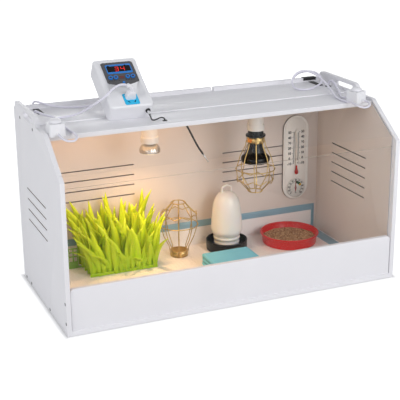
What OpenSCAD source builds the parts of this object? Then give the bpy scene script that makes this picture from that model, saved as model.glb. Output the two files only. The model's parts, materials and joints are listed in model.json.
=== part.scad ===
// Chick brooder box: a white board box with sliding window, heat lamps, thermostat and furniture.
// Millimetres, +Z up, front towards -Y, origin at the middle of the underside.

/* [Box] */
// Width over the side panels
box_w = 800; // [700:1:900]
// Depth over the back panel
box_d = 370; // [350:1:420]
// Thickness of every board
board_t = 10; // [9:0.5:12]
// Height of the front corner of a side panel
corner_h = 336; // [326:1:342]
// Height of the level edge behind the slope
shoulder_h = 411; // [409:1:416]
// Height of the rear ears
ear_h = 433; // [430:1:445]
// Height of the back panel
lip_h = 417; // [414:1:424]
// Depth at which the sloped edge ends
slope_top_d = 110; // [104:1:112]
// Depth at which the ear starts
ear_front_d = 195; // [185:1:205]
// Radius of the ear's rear corner
ear_back_r = 12; // [6:1:16]
// Height of the front board above the floor panel
kick_h = 94; // [70:1:120]
// Set-back of the front board
kick_set = 3; // [1:0.5:4]
// Clearance at each end of the front board
kick_gap = 1.5; // [0.5:0.1:3]
// Radius of the front board's upper corners
kick_r = 8; // [3:0.5:12]

/* [Roof] */
// Height of the front roof board's top
roof_h = 405; // [403:1:407]
// Depth of the roof's front edge
roof_front_d = 112; // [112:1:118]
// Depth of the seam between the two roof boards
roof_seam_d = 215; // [205:1:225]
// How much higher the rear roof board lies
roof_step = 2.5; // [1:0.5:4]
// Width of the cable notch in the lip
notch_w = 6; // [5:0.5:10]
// Place of the cable notch across the lip
notch_x = 92; // [60:1:120]

/* [Windows] */
// Thickness of the clear panes
pane_t = 3; // [2:0.5:4]
// Set-back of the lower pane
pane_set = 15; // [14:0.5:18]
// Height of the lower pane
pane_h = 308; // [280:1:315]
// Depth of the grooves in the side panels
groove_d = 5; // [3:0.5:6]
// Clearance of a pane in its groove, each side
groove_clear = 0.2; // [0.1:0.05:0.4]
// Depth of the upper pane's middle under the sloped edge
slope_inset = 6; // [5:0.5:8]
// Gap between the two panes, and from the upper pane to the roof
pane_gap = 1.5; // [0.6:0.1:2]

/* [Vents and hand-holds] */
// Height of a vent slot
vent_h = 3; // [2:0.5:4]
// Spacing of the vent slots
vent_pitch = 25; // [20:1:28]
// Number of slots in each back and left group
vent_count = 4; // [3:1:4]
// Number of slots in the right side
right_vent_count = 5; // [3:1:5]
// Length of a back slot
back_vent_w = 182; // [120:1:200]
// Middle of a back group, from the box's middle
back_vent_x = 209; // [190:1:230]
// Height of the lowest back and left slot
vent_z = 171; // [140:1:180]
// Height of the lowest right slot
right_vent_z = 161; // [140:1:180]
// Length of a side slot
side_vent_w = 160; // [100:1:180]
// Middle of the side slots, front to back
side_vent_y = 20; // [0:1:40]
// Length of a hand-hold
hold_w = 84; // [70:1:100]
// Height of a hand-hold
hold_h = 14; // [10:1:16]
// Middle of a hand-hold, front to back
hold_y = 52; // [45:1:60]
// Middle of a hand-hold, down from the ear's top
hold_drop = 15; // [13:0.5:18]

/* [Screws] */
// Diameter of a screw head
screw_head_d = 7.5; // [6:0.5:8]
// Depth of a screw head
screw_head_h = 2.5; // [2:0.1:3]
// Diameter of a screw shank
screw_d = 4; // [3:0.1:4.5]
// Length of a screw
screw_l = 24; // [20:1:30]
// Clearance round a screw, each side
screw_clear = 0.1; // [0.05:0.05:0.2]

/* [Thermostat] */
// Width of the thermostat
stat_w = 102; // [96:1:115]
// Height of the thermostat along its face
stat_h = 150; // [140:1:165]
// Depth of the thermostat
stat_d = 40; // [36:1:50]
// Depth of the back shell
stat_back_d = 16; // [12:1:20]
// Wall of the shells
stat_wall = 2.5; // [2:0.1:3]
// Corner radius of the shells
stat_r = 9; // [4:0.5:14]
// Lean back from upright, in degrees
stat_lean = 56; // [50:1:60]
// Place of the thermostat across the roof
stat_x = -184; // [-200:1:-170]
// Distance of its lower edge in front of the roof seam
stat_from_seam = 28; // [20:1:35]
// Width of the dark face panel
face_w = 75; // [70:1:80]
// Height of the dark face panel at its sides
face_h = 66; // [62:1:68]
// How far the face panel's lower edge bows down
face_bow = 7; // [4:0.5:8]
// Place of the face panel across the thermostat
face_x = 2; // [0:0.5:4]
// Distance of the face panel from the top
face_drop = 12; // [8:1:14]
// Thickness of the face panel
face_t = 1.2; // [1:0.1:1.4]
// Width of the display window
display_w = 60; // [50:1:64]
// Height of the display window
display_h = 29; // [24:1:30]
// Diameter of a button
button_d = 10.5; // [8:0.5:10.5]
// Travel of a button
button_travel = 1; // [0.5:0.1:1.2]
// How far a button stands out of the face panel
button_out = 2.5; // [2:0.1:3]
// Clearance round a button
button_clear = 0.2; // [0.1:0.05:0.3]
// Middle of the inner buttons, from the face panel's middle
button_x = 14; // [13:0.5:15]
// Spacing of each pair of buttons
button_pitch = 12; // [12:0.5:14]
// Width of the socket
socket_w = 34; // [32:1:40]
// Height of the socket
socket_h = 34; // [32:1:35]
// Place of the socket across the face
socket_x = 3; // [0:1:10]
// Height of the socket's middle on the face
socket_z = 22; // [22:1:28]
// Width of the plug in the socket
plug_w = 24; // [20:1:28]
// Height of the plug in the socket
plug_h = 18; // [16:1:24]
// Length of the plug's body
plug_l = 19; // [16:1:26]
// Length of a mains plug's strain relief
relief_l = 20; // [14:1:26]
// Height of the plug's middle above the socket's
plug_up = 6; // [4:0.5:7]
// Width of the stand behind the thermostat
stand_w = 60; // [40:1:80]
// Thickness of the stand's sheet
stand_t = 3; // [2:0.5:4]
// Distance from the thermostat's lower edge to the stand's leg
stand_reach = 84; // [75:1:90]

/* [Dimmers] */
// Width of a dimmer
dimmer_w = 34; // [30:1:40]
// Depth of a dimmer
dimmer_d = 36; // [34:1:44]
// Height of a dimmer
dimmer_h = 27; // [24:1:32]
// Corner radius of a dimmer
dimmer_r = 5; // [2:0.5:8]
// Diameter of a knob
knob_d = 27; // [22:1:30]
// Height of a knob
knob_h = 9; // [7:0.5:12]
// Diameter of a knob's shaft
shaft_d = 6; // [5:0.5:8]
// Running clearance of a shaft, each side
shaft_clear = 0.05; // [0.02:0.01:0.1]
// Middle of the left dimmer from the side panel
left_dimmer_gap = 19; // [18:1:26]
// Middle of the right dimmer from the side panel
right_dimmer_gap = 38; // [30:1:44]
// How far a dimmer overhangs the roof's front edge
dimmer_over = 12; // [6:1:16]
// Turn of the right dimmer, in degrees
right_dimmer_turn = 22; // [0:1:30]

/* [Lamps] */
// Gap from the roof seam to the holders' roof plates
lamp_gap = 1; // [0.5:0.5:10]
// Place of the left lamp across the box
left_lamp_x = -119.5; // [-135:0.5:-105]
// Place of the right lamp across the box
right_lamp_x = 151.5; // [140:0.5:160]
// Diameter of a lamp holder
holder_d = 41; // [37:1:46]
// Length of a lamp holder
holder_l = 66; // [56:1:72]
// Diameter of a holder's roof plate
holder_plate_d = 48; // [47:1:60]
// Diameter of a lamp's threaded base
base_d = 26.4; // [24:0.1:27]
// Length of a lamp's base
base_l = 30; // [24:1:34]
// Clearance round a lamp's base
base_clear = 0.3; // [0.1:0.1:0.5]
// Diameter of the reflector lamp
reflector_d = 49; // [44:1:56]
// Length of the reflector lamp below its holder
reflector_l = 27; // [24:1:40]
// Height of the black collar under the right holder
collar_h = 15; // [10:1:18]
// Diameter of the ceramic emitter
emitter_d = 70; // [60:1:72]
// Length of the ceramic emitter below its holder
emitter_l = 81; // [75:1:88]

/* [Guards] */
// Widest diameter of a guard
guard_d = 97; // [92:1:104]
// Height of a guard's brass collar
guard_collar_h = 15; // [10:1:18]
// Outer diameter of a guard's brass collar
guard_collar_d = 44; // [42:0.5:48]
// Height of a guard below its collar
guard_l = 123; // [116:1:130]
// Diameter of a guard's end ring
guard_end_d = 34; // [28:1:40]
// Diameter of the wire
wire_d = 2.4; // [2:0.1:3]
// Number of upright wires
wire_count = 8; // [6:1:10]
// Place of the spare guard across the box
spare_x = -24; // [-40:1:-10]

/* [Thermo-hygrometer] */
// Width of the plate
gauge_w = 73; // [66:1:80]
// Height of the plate
gauge_h = 224; // [210:1:240]
// Thickness of the plate
gauge_t = 6; // [4:0.5:8]
// Height of the plate's lower end above the floor
gauge_z = 100; // [80:1:110]
// Middle of the plate from the right side panel
gauge_from_side = 66; // [50:1:75]
// Diameter of the dial
dial_d = 48; // [40:1:54]
// Thickness of the dial
dial_t = 2.5; // [2:0.1:4]
// Diameter of the glass tube
tube_d = 6; // [5:0.5:8]
// Length of the glass tube
tube_l = 118; // [100:1:124]
// Diameter of the needle's pin
pin_d = 2; // [1.5:0.1:3]
// Depth of the dial's clear cover
cover_h = 7; // [6:0.5:9]

/* [Drinker and feeder] */
// Place of the drinker across the box
drinker_x = 104; // [95:1:115]
// Diameter of the drinker's tray
tray_d = 104; // [96:1:110]
// Height of the tray
tray_h = 26; // [20:1:30]
// Diameter of the jar's neck
neck_d = 62; // [54:1:66]
// Widest diameter of the jar
jar_d = 78; // [72:1:84]
// Height of the jar
jar_h = 143; // [130:1:150]
// Wall of tray, jar and dish
wall_t = 2.5; // [2:0.1:3]
// Height of the jar's handle
handle_h = 19; // [14:1:24]
// Place of the feeder across the box
feeder_x = 270; // [262:1:285]
// Diameter of the feeder dish
dish_d = 150; // [130:1:160]
// Height of the feeder dish
dish_h = 28; // [22:1:34]
// Depth of the feed
feed_h = 12; // [6:1:16]

/* [Grass and pads] */
// Thickness of the floor pad
pad_t = 4; // [3:0.5:6]
// Gap from the floor pad to the walls
pad_gap = 6; // [4:0.5:10]
// Distance of the floor pad from the front
pad_front = 25; // [22:1:30]
// Width of the folded pad pack
pack_w = 122; // [100:1:130]
// Depth of the folded pad pack
pack_d = 83; // [70:1:90]
// Height of the folded pad pack
pack_h = 30; // [20:1:36]
// How high the floor pad's rear edge turns up the back panel
pad_turn_h = 64; // [40:1:80]
// Thickness of the turned-up edge
pad_turn_t = 2.5; // [2:0.1:2.7]
// Left end of the grass
grass_left = -270; // [-280:1:-262]
// Width of the grass at its foot
grass_w = 170; // [150:1:175]
// Height of the tallest blades
grass_h = 188; // [160:1:210]
// How far the left-hand blades lean out
grass_lean_l = 42; // [20:1:50]
// How far the right-hand blades lean out
grass_lean_r = 16; // [5:1:17]
// Number of rows of blades
grass_rows = 5; // [3:1:6]
// Spacing of the rows
grass_pitch = 23; // [18:1:24]
// Thickness of a row
blade_t = 1.6; // [1:0.1:2.5]
// Number of blades in a row
blade_count = 12; // [8:1:13]

/* [Cords] */
// Diameter of the mains cords
cord_d = 5; // [4:0.5:6]
// Diameter of the sensor cable
sensor_d = 3; // [2.5:0.1:4]
// Mean radius of the inner turns of a coil
coil_in_r = 23.5; // [22:0.5:26]
// Air between the turns of a coil
coil_gap = 0.6; // [0.5:0.1:1]
// Turns in each layer of a coil
coil_turns = 2.25; // [1.25:1:3.25]

/* [Hidden] */
$fn = 48;
eps = 0.01;
y_front = -box_d / 2;
y_back = box_d / 2;
y_wall = y_back - board_t;
x_in = box_w / 2 - board_t;
y_roof = y_front + roof_front_d;
y_seam = y_front + roof_seam_d;
rear_roof_h = roof_h + roof_step;
rear_roof_under = rear_roof_h - board_t;
pad_top = board_t + pad_t;

// The furniture and the cords were laid out in a box of this size. They spread and close up with it.
layout_w = 800;
layout_d = 370;
wide = box_w / layout_w;
deep = box_d / layout_d;
function laid(points) = [for (p = points) [p[0] * wide, p[1] * deep, p[2]]];
notch_at = notch_x * wide;
stat_at = stat_x * wide;
left_lamp_at = left_lamp_x * wide;
right_lamp_at = right_lamp_x * wide;
spare_at = spare_x * wide;
drinker_at = drinker_x * wide;
feeder_at = feeder_x * wide;
grass_span = grass_w * wide;

// Sloped edge of the side panels, measured from the front corner
slope_rise = shoulder_h - corner_h;
slope_a = atan2(slope_rise, slope_top_d);
upper_from = (pane_set + pane_t + pane_gap - (slope_inset - pane_t / 2) * sin(slope_a)) / cos(slope_a);
upper_to = (roof_front_d - pane_gap - (slope_inset + pane_t / 2) * sin(slope_a)) / cos(slope_a);

// Screw places: side panels as [y, z], back panel as [x, z]
side_screws = [
    [y_wall - 46, rear_roof_h - board_t / 2],
    [y_seam - 12, roof_h - board_t / 2],
    [y_wall - 12, board_t / 2],
    [y_wall - 57, board_t / 2],
    [-45, board_t / 2],
    [y_front + kick_set + board_t / 2, board_t + kick_h - 33],
    [y_front + kick_set + board_t / 2, board_t + 16]
];
back_screw_x = box_w / 2 - board_t / 2;
back_screws = [
    [-back_screw_x, 80], [-back_screw_x, 210], [-back_screw_x, 340],
    [back_screw_x, 80], [back_screw_x, 210], [back_screw_x, 340],
    [-250, board_t / 2], [0, board_t / 2], [250, board_t / 2],
    [-250, rear_roof_h - board_t / 2], [0, rear_roof_h - board_t / 2], [250, rear_roof_h - board_t / 2]
];

// Thermostat, in its own leaning frame: x across, y from front (-stat_d) to back (0), z up the face
stat_place = [stat_at, y_seam - stat_from_seam, roof_h];
stat_front = -stat_d;
face_z = stat_h - face_drop - face_h / 2;
display_x = face_x + 1;
display_z = stat_h - face_drop - 7 - display_h / 2;
button_z = stat_h - face_drop - face_h + 18;
plug_z = socket_z + plug_up;
flange_t = 1.2;
flange_rim = 0.6;
board_y = stat_front + 10;
pcb_t = 1.6;
jack_x = stat_w / 2 - 13;
jack_y = -stat_d / 2 - 3;
jack_l = 14;
jack_d = 8;

// Dimmers
dimmer_y = y_roof - dimmer_over + dimmer_d / 2;
left_dimmer_x = -x_in + left_dimmer_gap;
right_dimmer_x = x_in - right_dimmer_gap;
boss_l = 6;
boss_d = 8;
boss_z = 6;
knob_gap = 0.4;

// Lamps hang from the rear roof board
lamp_y = y_seam + lamp_gap + holder_plate_d / 2;
holder_under = rear_roof_under - holder_l;
holder_plate_t = 5;
lamp_boss_z = rear_roof_under - 13.5;
guard_top = holder_under - collar_h;

// Wall instrument
gauge_x = x_in - gauge_from_side;
gauge_face = y_wall - gauge_t;
dial_z = gauge_z + 31;
bulb_z = gauge_z + 74;
bulb_d = 10;
needle_clear = 0.05;

// Furniture stands on the floor pad, close to the back wall
wall_gap = 4;
drinker_y = y_wall - wall_gap - tray_d / 2;
feeder_y = y_wall - wall_gap - dish_d / 2;
spare_y = y_wall - wall_gap - guard_d / 2;
seat_h = 5;
jar_z = pad_top + wall_t + seat_h;
jar_top = jar_z + jar_h;
grass_from_wall = 10;
grass_x = grass_left * wide;
grass_deep = (grass_rows - 1) * grass_pitch + blade_t;
grass_y = y_wall - grass_from_wall - grass_deep;
pack_x = 1;
pack_gap = 27;
pack_place = [pack_x * wide, y_wall - wall_gap - tray_d - pack_gap - pack_d];

// Cord places. Each list runs from the piece that the cord leaves to the piece that it meets.
coil_pitch = cord_d + coil_gap;
coil_out_r = coil_in_r + coil_turns * coil_pitch;
coil_from_back = 20;
coil_y = y_back + coil_from_back;
left_coil_x = -290 * wide;
right_coil_x = 270 * wide;
left_grommet = [-375 * wide, 96 * deep];
right_grommet = [375 * wide, 103 * deep];
sensor_grommet = [-119 * wide, -45 * deep];
probe_place = laid([[2, 40, 300]])[0];
probe_lean = 33.2;
probe_l = 35;
probe_d = 5;

// Points of the thermostat frame and of the turned right dimmer, as places in the box
function on_stat(p) = stat_place + [
    p[0],
    p[1] * cos(stat_lean) + p[2] * sin(stat_lean),
    -p[1] * sin(stat_lean) + p[2] * cos(stat_lean)
];
function on_right_dimmer(p) = [
    right_dimmer_x + p[0] * cos(right_dimmer_turn) - p[1] * sin(right_dimmer_turn),
    dimmer_y + p[0] * sin(right_dimmer_turn) + p[1] * cos(right_dimmer_turn),
    roof_h + p[2]
];
function on_left_dimmer(p) = [left_dimmer_x + p[0], dimmer_y + p[1], roof_h + p[2]];
plug_end = [socket_x, stat_front - plug_l, plug_z];
boot_bend = [[0, 2, 0], [0, -4, 0], [-0.6, -8, 0.5], [-3, -11.5, 1.8], [-7, -13.5, 3.4], [-12, -14, 5]];
boot_tip = plug_end + boot_bend[5];
boot_way = unit(boot_bend[5] - boot_bend[4]);
lead_boss = [-16, 8, 110];

plug_lead_route = concat(
    [
        on_stat(boot_tip), on_stat(boot_tip + 7 * boot_way)
    ],
    laid([
        [-207.5, -7.5, 484.9], [-215.5, -4.6, 481.4], [-223, -1.5, 475.6], [-230.5, 1, 468.2],
        [-238.5, 2.1, 461.1], [-247.5, 5, 453.5], [-257, 11.5, 445.5], [-266, 20.5, 437],
        [-274.5, 31.5, 428.8], [-283.5, 43, 421], [-293.5, 53, 415], [-305, 59.5, 411.3],
        [-318, 61, 410.3], [-331.5, 57, 410.3], [-344, 47.5, 410.3], [-354, 33, 410.3], [-362, 15, 409.5],
        [-368, -5, 408.5], [-370.5, -22, 409.6]
    ]),
    [
        on_left_dimmer([0, dimmer_d / 2 + boss_l + 7, boss_z]),
        on_left_dimmer([0, dimmer_d / 2 + boss_l, boss_z])
    ]
);
thermostat_lead_route = concat(
    [
        on_stat(lead_boss), on_stat(lead_boss + [0, 7, 0])
    ],
    laid([
        [-203, 105, 447], [-209, 109.5, 435.5], [-219, 115, 425], [-231, 123, 416.5],
        [-246, 133, 411.8], [-262, 142, 410.4], [-279, 149, 410.4], [-296, 153.5, 411.3],
        [-312, 157, 414], [-326, 161, 417.5], [-337, 167, 420.8], [-345, 176, 423], [-350, 187.5, 421.5],
        [-352, 198, 414], [-351.5, 204, 402], [-350, 205, 385], [-349, 205, 365], [-349, 205, 60]
    ]),
    [
        [-349 * wide, coil_y, 27.5], [-347 * wide, coil_y, 17.5], [-341.5 * wide, coil_y, 10],
        [-333 * wide, coil_y, 4.5], [-324 * wide, coil_y, cord_d / 2],
        [left_coil_x - cord_d, coil_y, cord_d / 2]
    ]
);
left_lamp_route = concat(
    [
        on_left_dimmer([0, -dimmer_d / 2 - boss_l, boss_z]),
        on_left_dimmer([0, -dimmer_d / 2 - boss_l - 7, boss_z])
    ],
    laid([
        [-370.5, -104.5, 409.5], [-367.5, -111, 406.5], [-361.5, -116.5, 403.8], [-353.5, -118.5, 402.5],
        [-345.5, -116.5, 402.6], [-339.5, -110.5, 404.2], [-336.5, -101.5, 406.6], [-336, -91, 408.8],
        [-336, -78, 409.3], [-336.5, -62, 408.4], [-337, -45, 408.2], [-337.5, -28, 408.2],
        [-338, -11, 408.4], [-338.5, 5, 409.6], [-340, 20, 412.6], [-344, 34, 416.5], [-351, 46, 418.6],
        [-360, 57, 420], [-368.5, 67, 422.6], [-374, 77, 424.6],
        [-375, 86, 423.6], [-375, 92.5, 418.6], [-375, 95.5, 411.5], [-375, 96, 404], [-375, 96, 388],
        [-374, 96, 378], [-369, 95, 369], [-359, 93, 363], [-345, 90, 362], [-325, 86, 368],
        [-300, 81, 378], [-270, 75, 386], [-240, 68, 390], [-210, 62, 391], [-185, 58, 389.5],
        [-168, 56, 386.5]
    ]),
    [
        [left_lamp_at - holder_d / 2 - boss_l - 7, lamp_y, lamp_boss_z],
        [left_lamp_at - holder_d / 2 - boss_l, lamp_y, lamp_boss_z]
    ]
);
right_lead_route = concat(
    [
        on_right_dimmer([0, -dimmer_d / 2 - boss_l, boss_z]),
        on_right_dimmer([0, -dimmer_d / 2 - boss_l - 7, boss_z])
    ],
    laid([
        [364.5, -105.2, 409.3], [360.7, -113.4, 406.6], [353.3, -118.6, 404.5], [344.3, -119.4, 403.8],
        [336.1, -115.6, 404.6], [330.9, -108.2, 406.8], [329.5, -98.5, 408.9], [328.5, -86, 409.9],
        [327.2, -72, 409], [326.5, -56, 408], [327, -38, 408], [329, -20, 408.4], [332.5, -3, 410],
        [337, 14, 412.5], [341, 31, 415.8], [344.5, 48, 419.8], [346.8, 65, 424.3], [347.3, 82, 429.6],
        [345.5, 98, 435], [341, 112.5, 440], [334, 125, 443.8], [325, 134.5, 445], [314.5, 140, 443],
        [304, 141, 437.5], [295, 137.5, 430.3], [288.5, 130, 423], [284.5, 119.5, 416.8],
        [283.3, 107.5, 412.6], [285.5, 96, 410.7], [292, 87.5, 410.3], [302, 83.5, 410.4],
        [314.5, 85, 410.8], [326, 90.5, 411.4], [337.5, 97.5, 412.2], [348.5, 104.5, 413.2],
        [358, 111.5, 415], [365.5, 119.5, 418.5], [370, 129, 423.5], [370.5, 139.5, 429],
        [367, 150, 433.5], [360, 160, 436], [351, 170, 435.5], [342, 180.5, 432], [335, 191, 425.5],
        [331, 200, 416], [330, 204.5, 404], [330, 205, 385], [330, 205, 60]
    ]),
    [
        [330 * wide, coil_y, 27.5], [328 * wide, coil_y, 17.5], [322.5 * wide, coil_y, 10],
        [314 * wide, coil_y, 4.5], [305 * wide, coil_y, cord_d / 2],
        [right_coil_x + cord_d, coil_y, cord_d / 2]
    ]
);
right_lamp_route = concat(
    [
        on_right_dimmer([0, dimmer_d / 2 + boss_l, boss_z]),
        on_right_dimmer([0, dimmer_d / 2 + boss_l + 7, boss_z])
    ],
    laid([
        [341, -27, 409], [346, -10, 408.2], [354, 8, 408.4], [362, 26, 410.5], [369, 45, 413],
        [373, 63, 419], [375, 79, 424.5], [375, 91, 424], [375, 99, 418.5], [375, 102.5, 411],
        [375, 103, 404], [375, 103, 388], [374, 103, 378], [369, 102, 369], [359, 100, 363],
        [345, 97, 362], [325, 92, 368], [300, 85, 378], [270, 77, 386], [240, 69, 390],
        [218, 61, 389.5], [201, 57, 386.5]
    ]),
    [
        [right_lamp_at + holder_d / 2 + boss_l + 7, lamp_y, lamp_boss_z],
        [right_lamp_at + holder_d / 2 + boss_l, lamp_y, lamp_boss_z]
    ]
);
sensor_route = concat(
    [
        on_stat([jack_x, jack_y, -jack_l]), on_stat([jack_x, jack_y, -jack_l - 5])
    ],
    laid([
        [-145, -31, 407.6], [-143, -38, 407], [-137, -43, 409.5], [-130, -45, 412.5],
        [-123, -45, 411.5], [-119.4, -45, 407.5], [-119, -45, 403], [-119, -45, 394], [-118, -44, 390],
        [-113, -41, 388], [-104, -35, 389], [-92, -24, 391], [-78, -8, 391.5], [-64, 10, 391],
        [-53, 23, 387], [-43, 31, 378], [-32, 36, 361], [-20, 39, 339], [-9, 40, 318]
    ]),
    [
        probe_place + 8 * [-sin(probe_lean), 0, cos(probe_lean)], probe_place
    ]
);

// A coil lies in two layers: it winds in, climbs in the half turn at the middle, and winds out again
coil_steps = 24;
coil_run = coil_turns * coil_steps;
coil_last = 2 * coil_run + coil_steps / 2;
function coil_radius(i) = coil_out_r - min(i, coil_last - i) / coil_steps * coil_pitch;
function coil_level(i) =
    i < coil_run ? 0
    : i > coil_last - coil_run ? coil_pitch
    : coil_pitch * (i - coil_run) / (coil_last - 2 * coil_run);
coil_turned = [
    for (i = [0:coil_last]) [
        coil_radius(i) * sin(i * 360 / coil_steps),
        coil_out_r - coil_radius(i) * cos(i * 360 / coil_steps),
        cord_d / 2 + coil_level(i)
    ]
];
coil_tail = 30;
coil_path = concat(
    [[-cord_d, 0, cord_d / 2]],
    coil_turned,
    [coil_turned[coil_last] + [coil_tail, 0, 0]]
);
coil_self_gap = min([
    for (i = [0:len(coil_turned) - 1])
        for (j = [i + coil_steps / 2:1:len(coil_turned) - 1])
            norm(coil_turned[i] - coil_turned[j]) - cord_d
]);
echo(coil_self_gap = coil_self_gap);

// Shared shapes

// Rectangle with round corners, centred
module round_rect(w, h, r) {
    square([w - 2 * r, h], center = true);
    square([w, h - 2 * r], center = true);
    for (x = [-1, 1], y = [-1, 1])
        translate([x * (w / 2 - r), y * (h / 2 - r)])
            circle(r = r);
}

// Long slot with round ends, centred
module slot(w, h) {
    square([w - h, h], center = true);
    for (x = [-1, 1])
        translate([x * (w - h) / 2, 0])
            circle(d = h);
}

// Tube swept along a list of points, with a ring at each. A closed tube runs back to its first point.
function unit(v) = v / norm(v);
function heading(p, i, closed) =
    closed ? unit(p[(i + 1) % len(p)] - p[(i + len(p) - 1) % len(p)])
    : unit(p[min(i + 1, len(p) - 1)] - p[max(i - 1, 0)]);
function across(t) = unit(cross(t, abs(t[2]) < 0.8 ? [0, 0, 1] : [1, 0, 0]));
function square_to(n, t) = unit(n - (n * t) * t);
module tube(path, d, sides, closed = false) {
    count = len(path);
    headings = [for (i = [0:count - 1]) heading(path, i, closed)];
    normals = [
        for (i = 0, n = across(headings[0]); i < count;
            i = i + 1, n = square_to(n, headings[min(i, count - 1)])) n
    ];
    points = [
        for (i = [0:count - 1], k = [0:sides - 1])
            path[i] + d / 2 * (cos(k * 360 / sides) * normals[i]
                + sin(k * 360 / sides) * cross(headings[i], normals[i]))
    ];
    walls = [
        for (i = [0:closed ? count - 1 : count - 2], k = [0:sides - 1], half = [0, 1])
            let (
                a = i * sides + k,
                b = i * sides + (k + 1) % sides,
                c = (i + 1) % count * sides + k,
                e = (i + 1) % count * sides + (k + 1) % sides
            )
            half == 0 ? [a, c, b] : [b, c, e]
    ];
    last = (count - 1) * sides;
    caps = [
        for (k = [1:sides - 2], end = [0, 1])
            end == 0 ? [0, k, k + 1] : [last, last + k + 1, last + k]
    ];
    polyhedron(points = points, faces = closed ? walls : concat(walls, caps));
}

// Box

// Outline of a side panel, with depth along X and height along Y
module side_outline() {
    ear_r = ear_h - shoulder_h;
    y_ear = y_front + ear_front_d;
    difference() {
        union() {
            polygon([
                [y_front, 0], [y_wall, 0], [y_wall, ear_h], [y_ear, ear_h],
                [y_ear, shoulder_h], [y_front + slope_top_d, shoulder_h], [y_front, corner_h]
            ]);
            translate([y_ear, shoulder_h])
                circle(r = ear_r);
        }
        translate([y_wall - ear_back_r, ear_h - ear_back_r])
            difference() {
                square(ear_back_r + 1);
                circle(r = ear_back_r);
            }
        translate([hold_y, ear_h - hold_drop])
            slot(hold_w, hold_h);
    }
}

// Place of the sloped edge: Y up the slope from the front corner, Z out of it
module on_slope() {
    translate([0, y_front, corner_h])
        rotate([slope_a, 0, 0])
            children();
}

// Right-hand side panel with its grooves, vents and screw holes
module side_panel(vents, lowest) {
    groove_w = pane_t + 2 * groove_clear;
    difference() {
        translate([x_in, 0, 0])
            rotate([90, 0, 90])
                linear_extrude(board_t)
                    side_outline();
        translate([x_in - 1, y_front + pane_set - groove_clear, board_t])
            cube([groove_d + 1, groove_w, ear_h]);
        on_slope()
            translate([x_in - 1, upper_from - groove_clear, -slope_inset - groove_w / 2])
                cube([groove_d + 1, upper_to - upper_from + 2 * groove_clear, groove_w]);
        for (i = [0:vents - 1])
            translate([x_in - 1, side_vent_y, lowest + i * vent_pitch])
                rotate([90, 0, 90])
                    linear_extrude(board_t + 2)
                        slot(side_vent_w, vent_h);
        side_screw_holes();
        back_screw_holes();
    }
}

module left_side_panel() {
    color("white")
        mirror([1, 0, 0])
            side_panel(vent_count, vent_z);
}

module right_side_panel() {
    color("white")
        side_panel(right_vent_count, right_vent_z);
}

module screw_hole() {
    cylinder(d = screw_d + 2 * screw_clear, h = screw_l + screw_clear);
    translate([0, 0, -1])
        cylinder(d = screw_head_d + 2 * screw_clear, h = screw_head_h + 1);
}

module screw() {
    cylinder(d = screw_d, h = screw_l);
    cylinder(d = screw_head_d, h = screw_head_h);
}

// Places of the screws through the right side panel, heads outside
module at_side_screws() {
    for (s = side_screws)
        translate([box_w / 2, s[0], s[1]])
            rotate([0, -90, 0])
                children();
}

module at_back_screws() {
    for (s = back_screws)
        translate([s[0], y_back, s[1]])
            rotate([90, 0, 0])
                children();
}

module side_screw_holes() {
    at_side_screws()
        screw_hole();
}

module back_screw_holes() {
    at_back_screws()
        screw_hole();
}

module both_side_screw_holes() {
    for (m = [0, 1])
        mirror([m, 0, 0])
            side_screw_holes();
}

module panel_screws() {
    color("#202020") {
        for (m = [0, 1])
            mirror([m, 0, 0])
                at_side_screws()
                    screw();
        at_back_screws()
            screw();
    }
}

module floor_panel() {
    color("white")
        difference() {
            translate([-x_in, y_front, 0])
                cube([2 * x_in, y_wall - y_front, board_t]);
            both_side_screw_holes();
            back_screw_holes();
        }
}

module back_panel() {
    color("white")
        difference() {
            translate([-box_w / 2, y_wall, 0])
                cube([box_w, board_t, lip_h]);
            for (side = [-1, 1], i = [0:vent_count - 1])
                translate([side * back_vent_x, y_back + 1, vent_z + i * vent_pitch])
                    rotate([90, 0, 0])
                        linear_extrude(board_t + 2)
                            slot(back_vent_w, vent_h);
            translate([notch_at - notch_w / 2, y_wall - 1, rear_roof_h])
                cube([notch_w, board_t + 2, lip_h]);
            back_screw_holes();
        }
}

module roof_front_board() {
    color("white")
        difference() {
            translate([-x_in, y_roof, roof_h - board_t])
                cube([2 * x_in, y_seam - y_roof, board_t]);
            both_side_screw_holes();
            translate([sensor_grommet[0], sensor_grommet[1], roof_h - board_t - 1])
                cylinder(d = sensor_d + 4, h = board_t + 2);
        }
}

module roof_rear_board() {
    color("white")
        difference() {
            translate([-x_in, y_seam, rear_roof_under])
                cube([2 * x_in, y_wall - y_seam, board_t]);
            both_side_screw_holes();
            back_screw_holes();
            for (g = [left_grommet, right_grommet])
                translate([g[0], g[1], rear_roof_under - 1])
                    cylinder(d = cord_d + 6, h = board_t + 2);
        }
}

// Rubber ring in a hole of a board, with a lip on each face
module grommet(hole_d, bore_d, rim) {
    difference() {
        union() {
            translate([0, 0, -board_t - rim])
                cylinder(d = hole_d, h = board_t + 2 * rim);
            for (z = [0, -board_t - rim])
                translate([0, 0, z])
                    cylinder(d = hole_d + 4, h = rim);
        }
        translate([0, 0, -board_t - rim - 1])
            cylinder(d = bore_d, h = board_t + 2 * rim + 2);
    }
}

module roof_grommets() {
    color("#303030") {
        for (g = [left_grommet, right_grommet])
            translate([g[0], g[1], rear_roof_h])
                grommet(cord_d + 6, cord_d + 1.2, 1.2);
        translate([sensor_grommet[0], sensor_grommet[1], roof_h])
            grommet(sensor_d + 4, sensor_d + 1.6, 0.8);
    }
}

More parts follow.
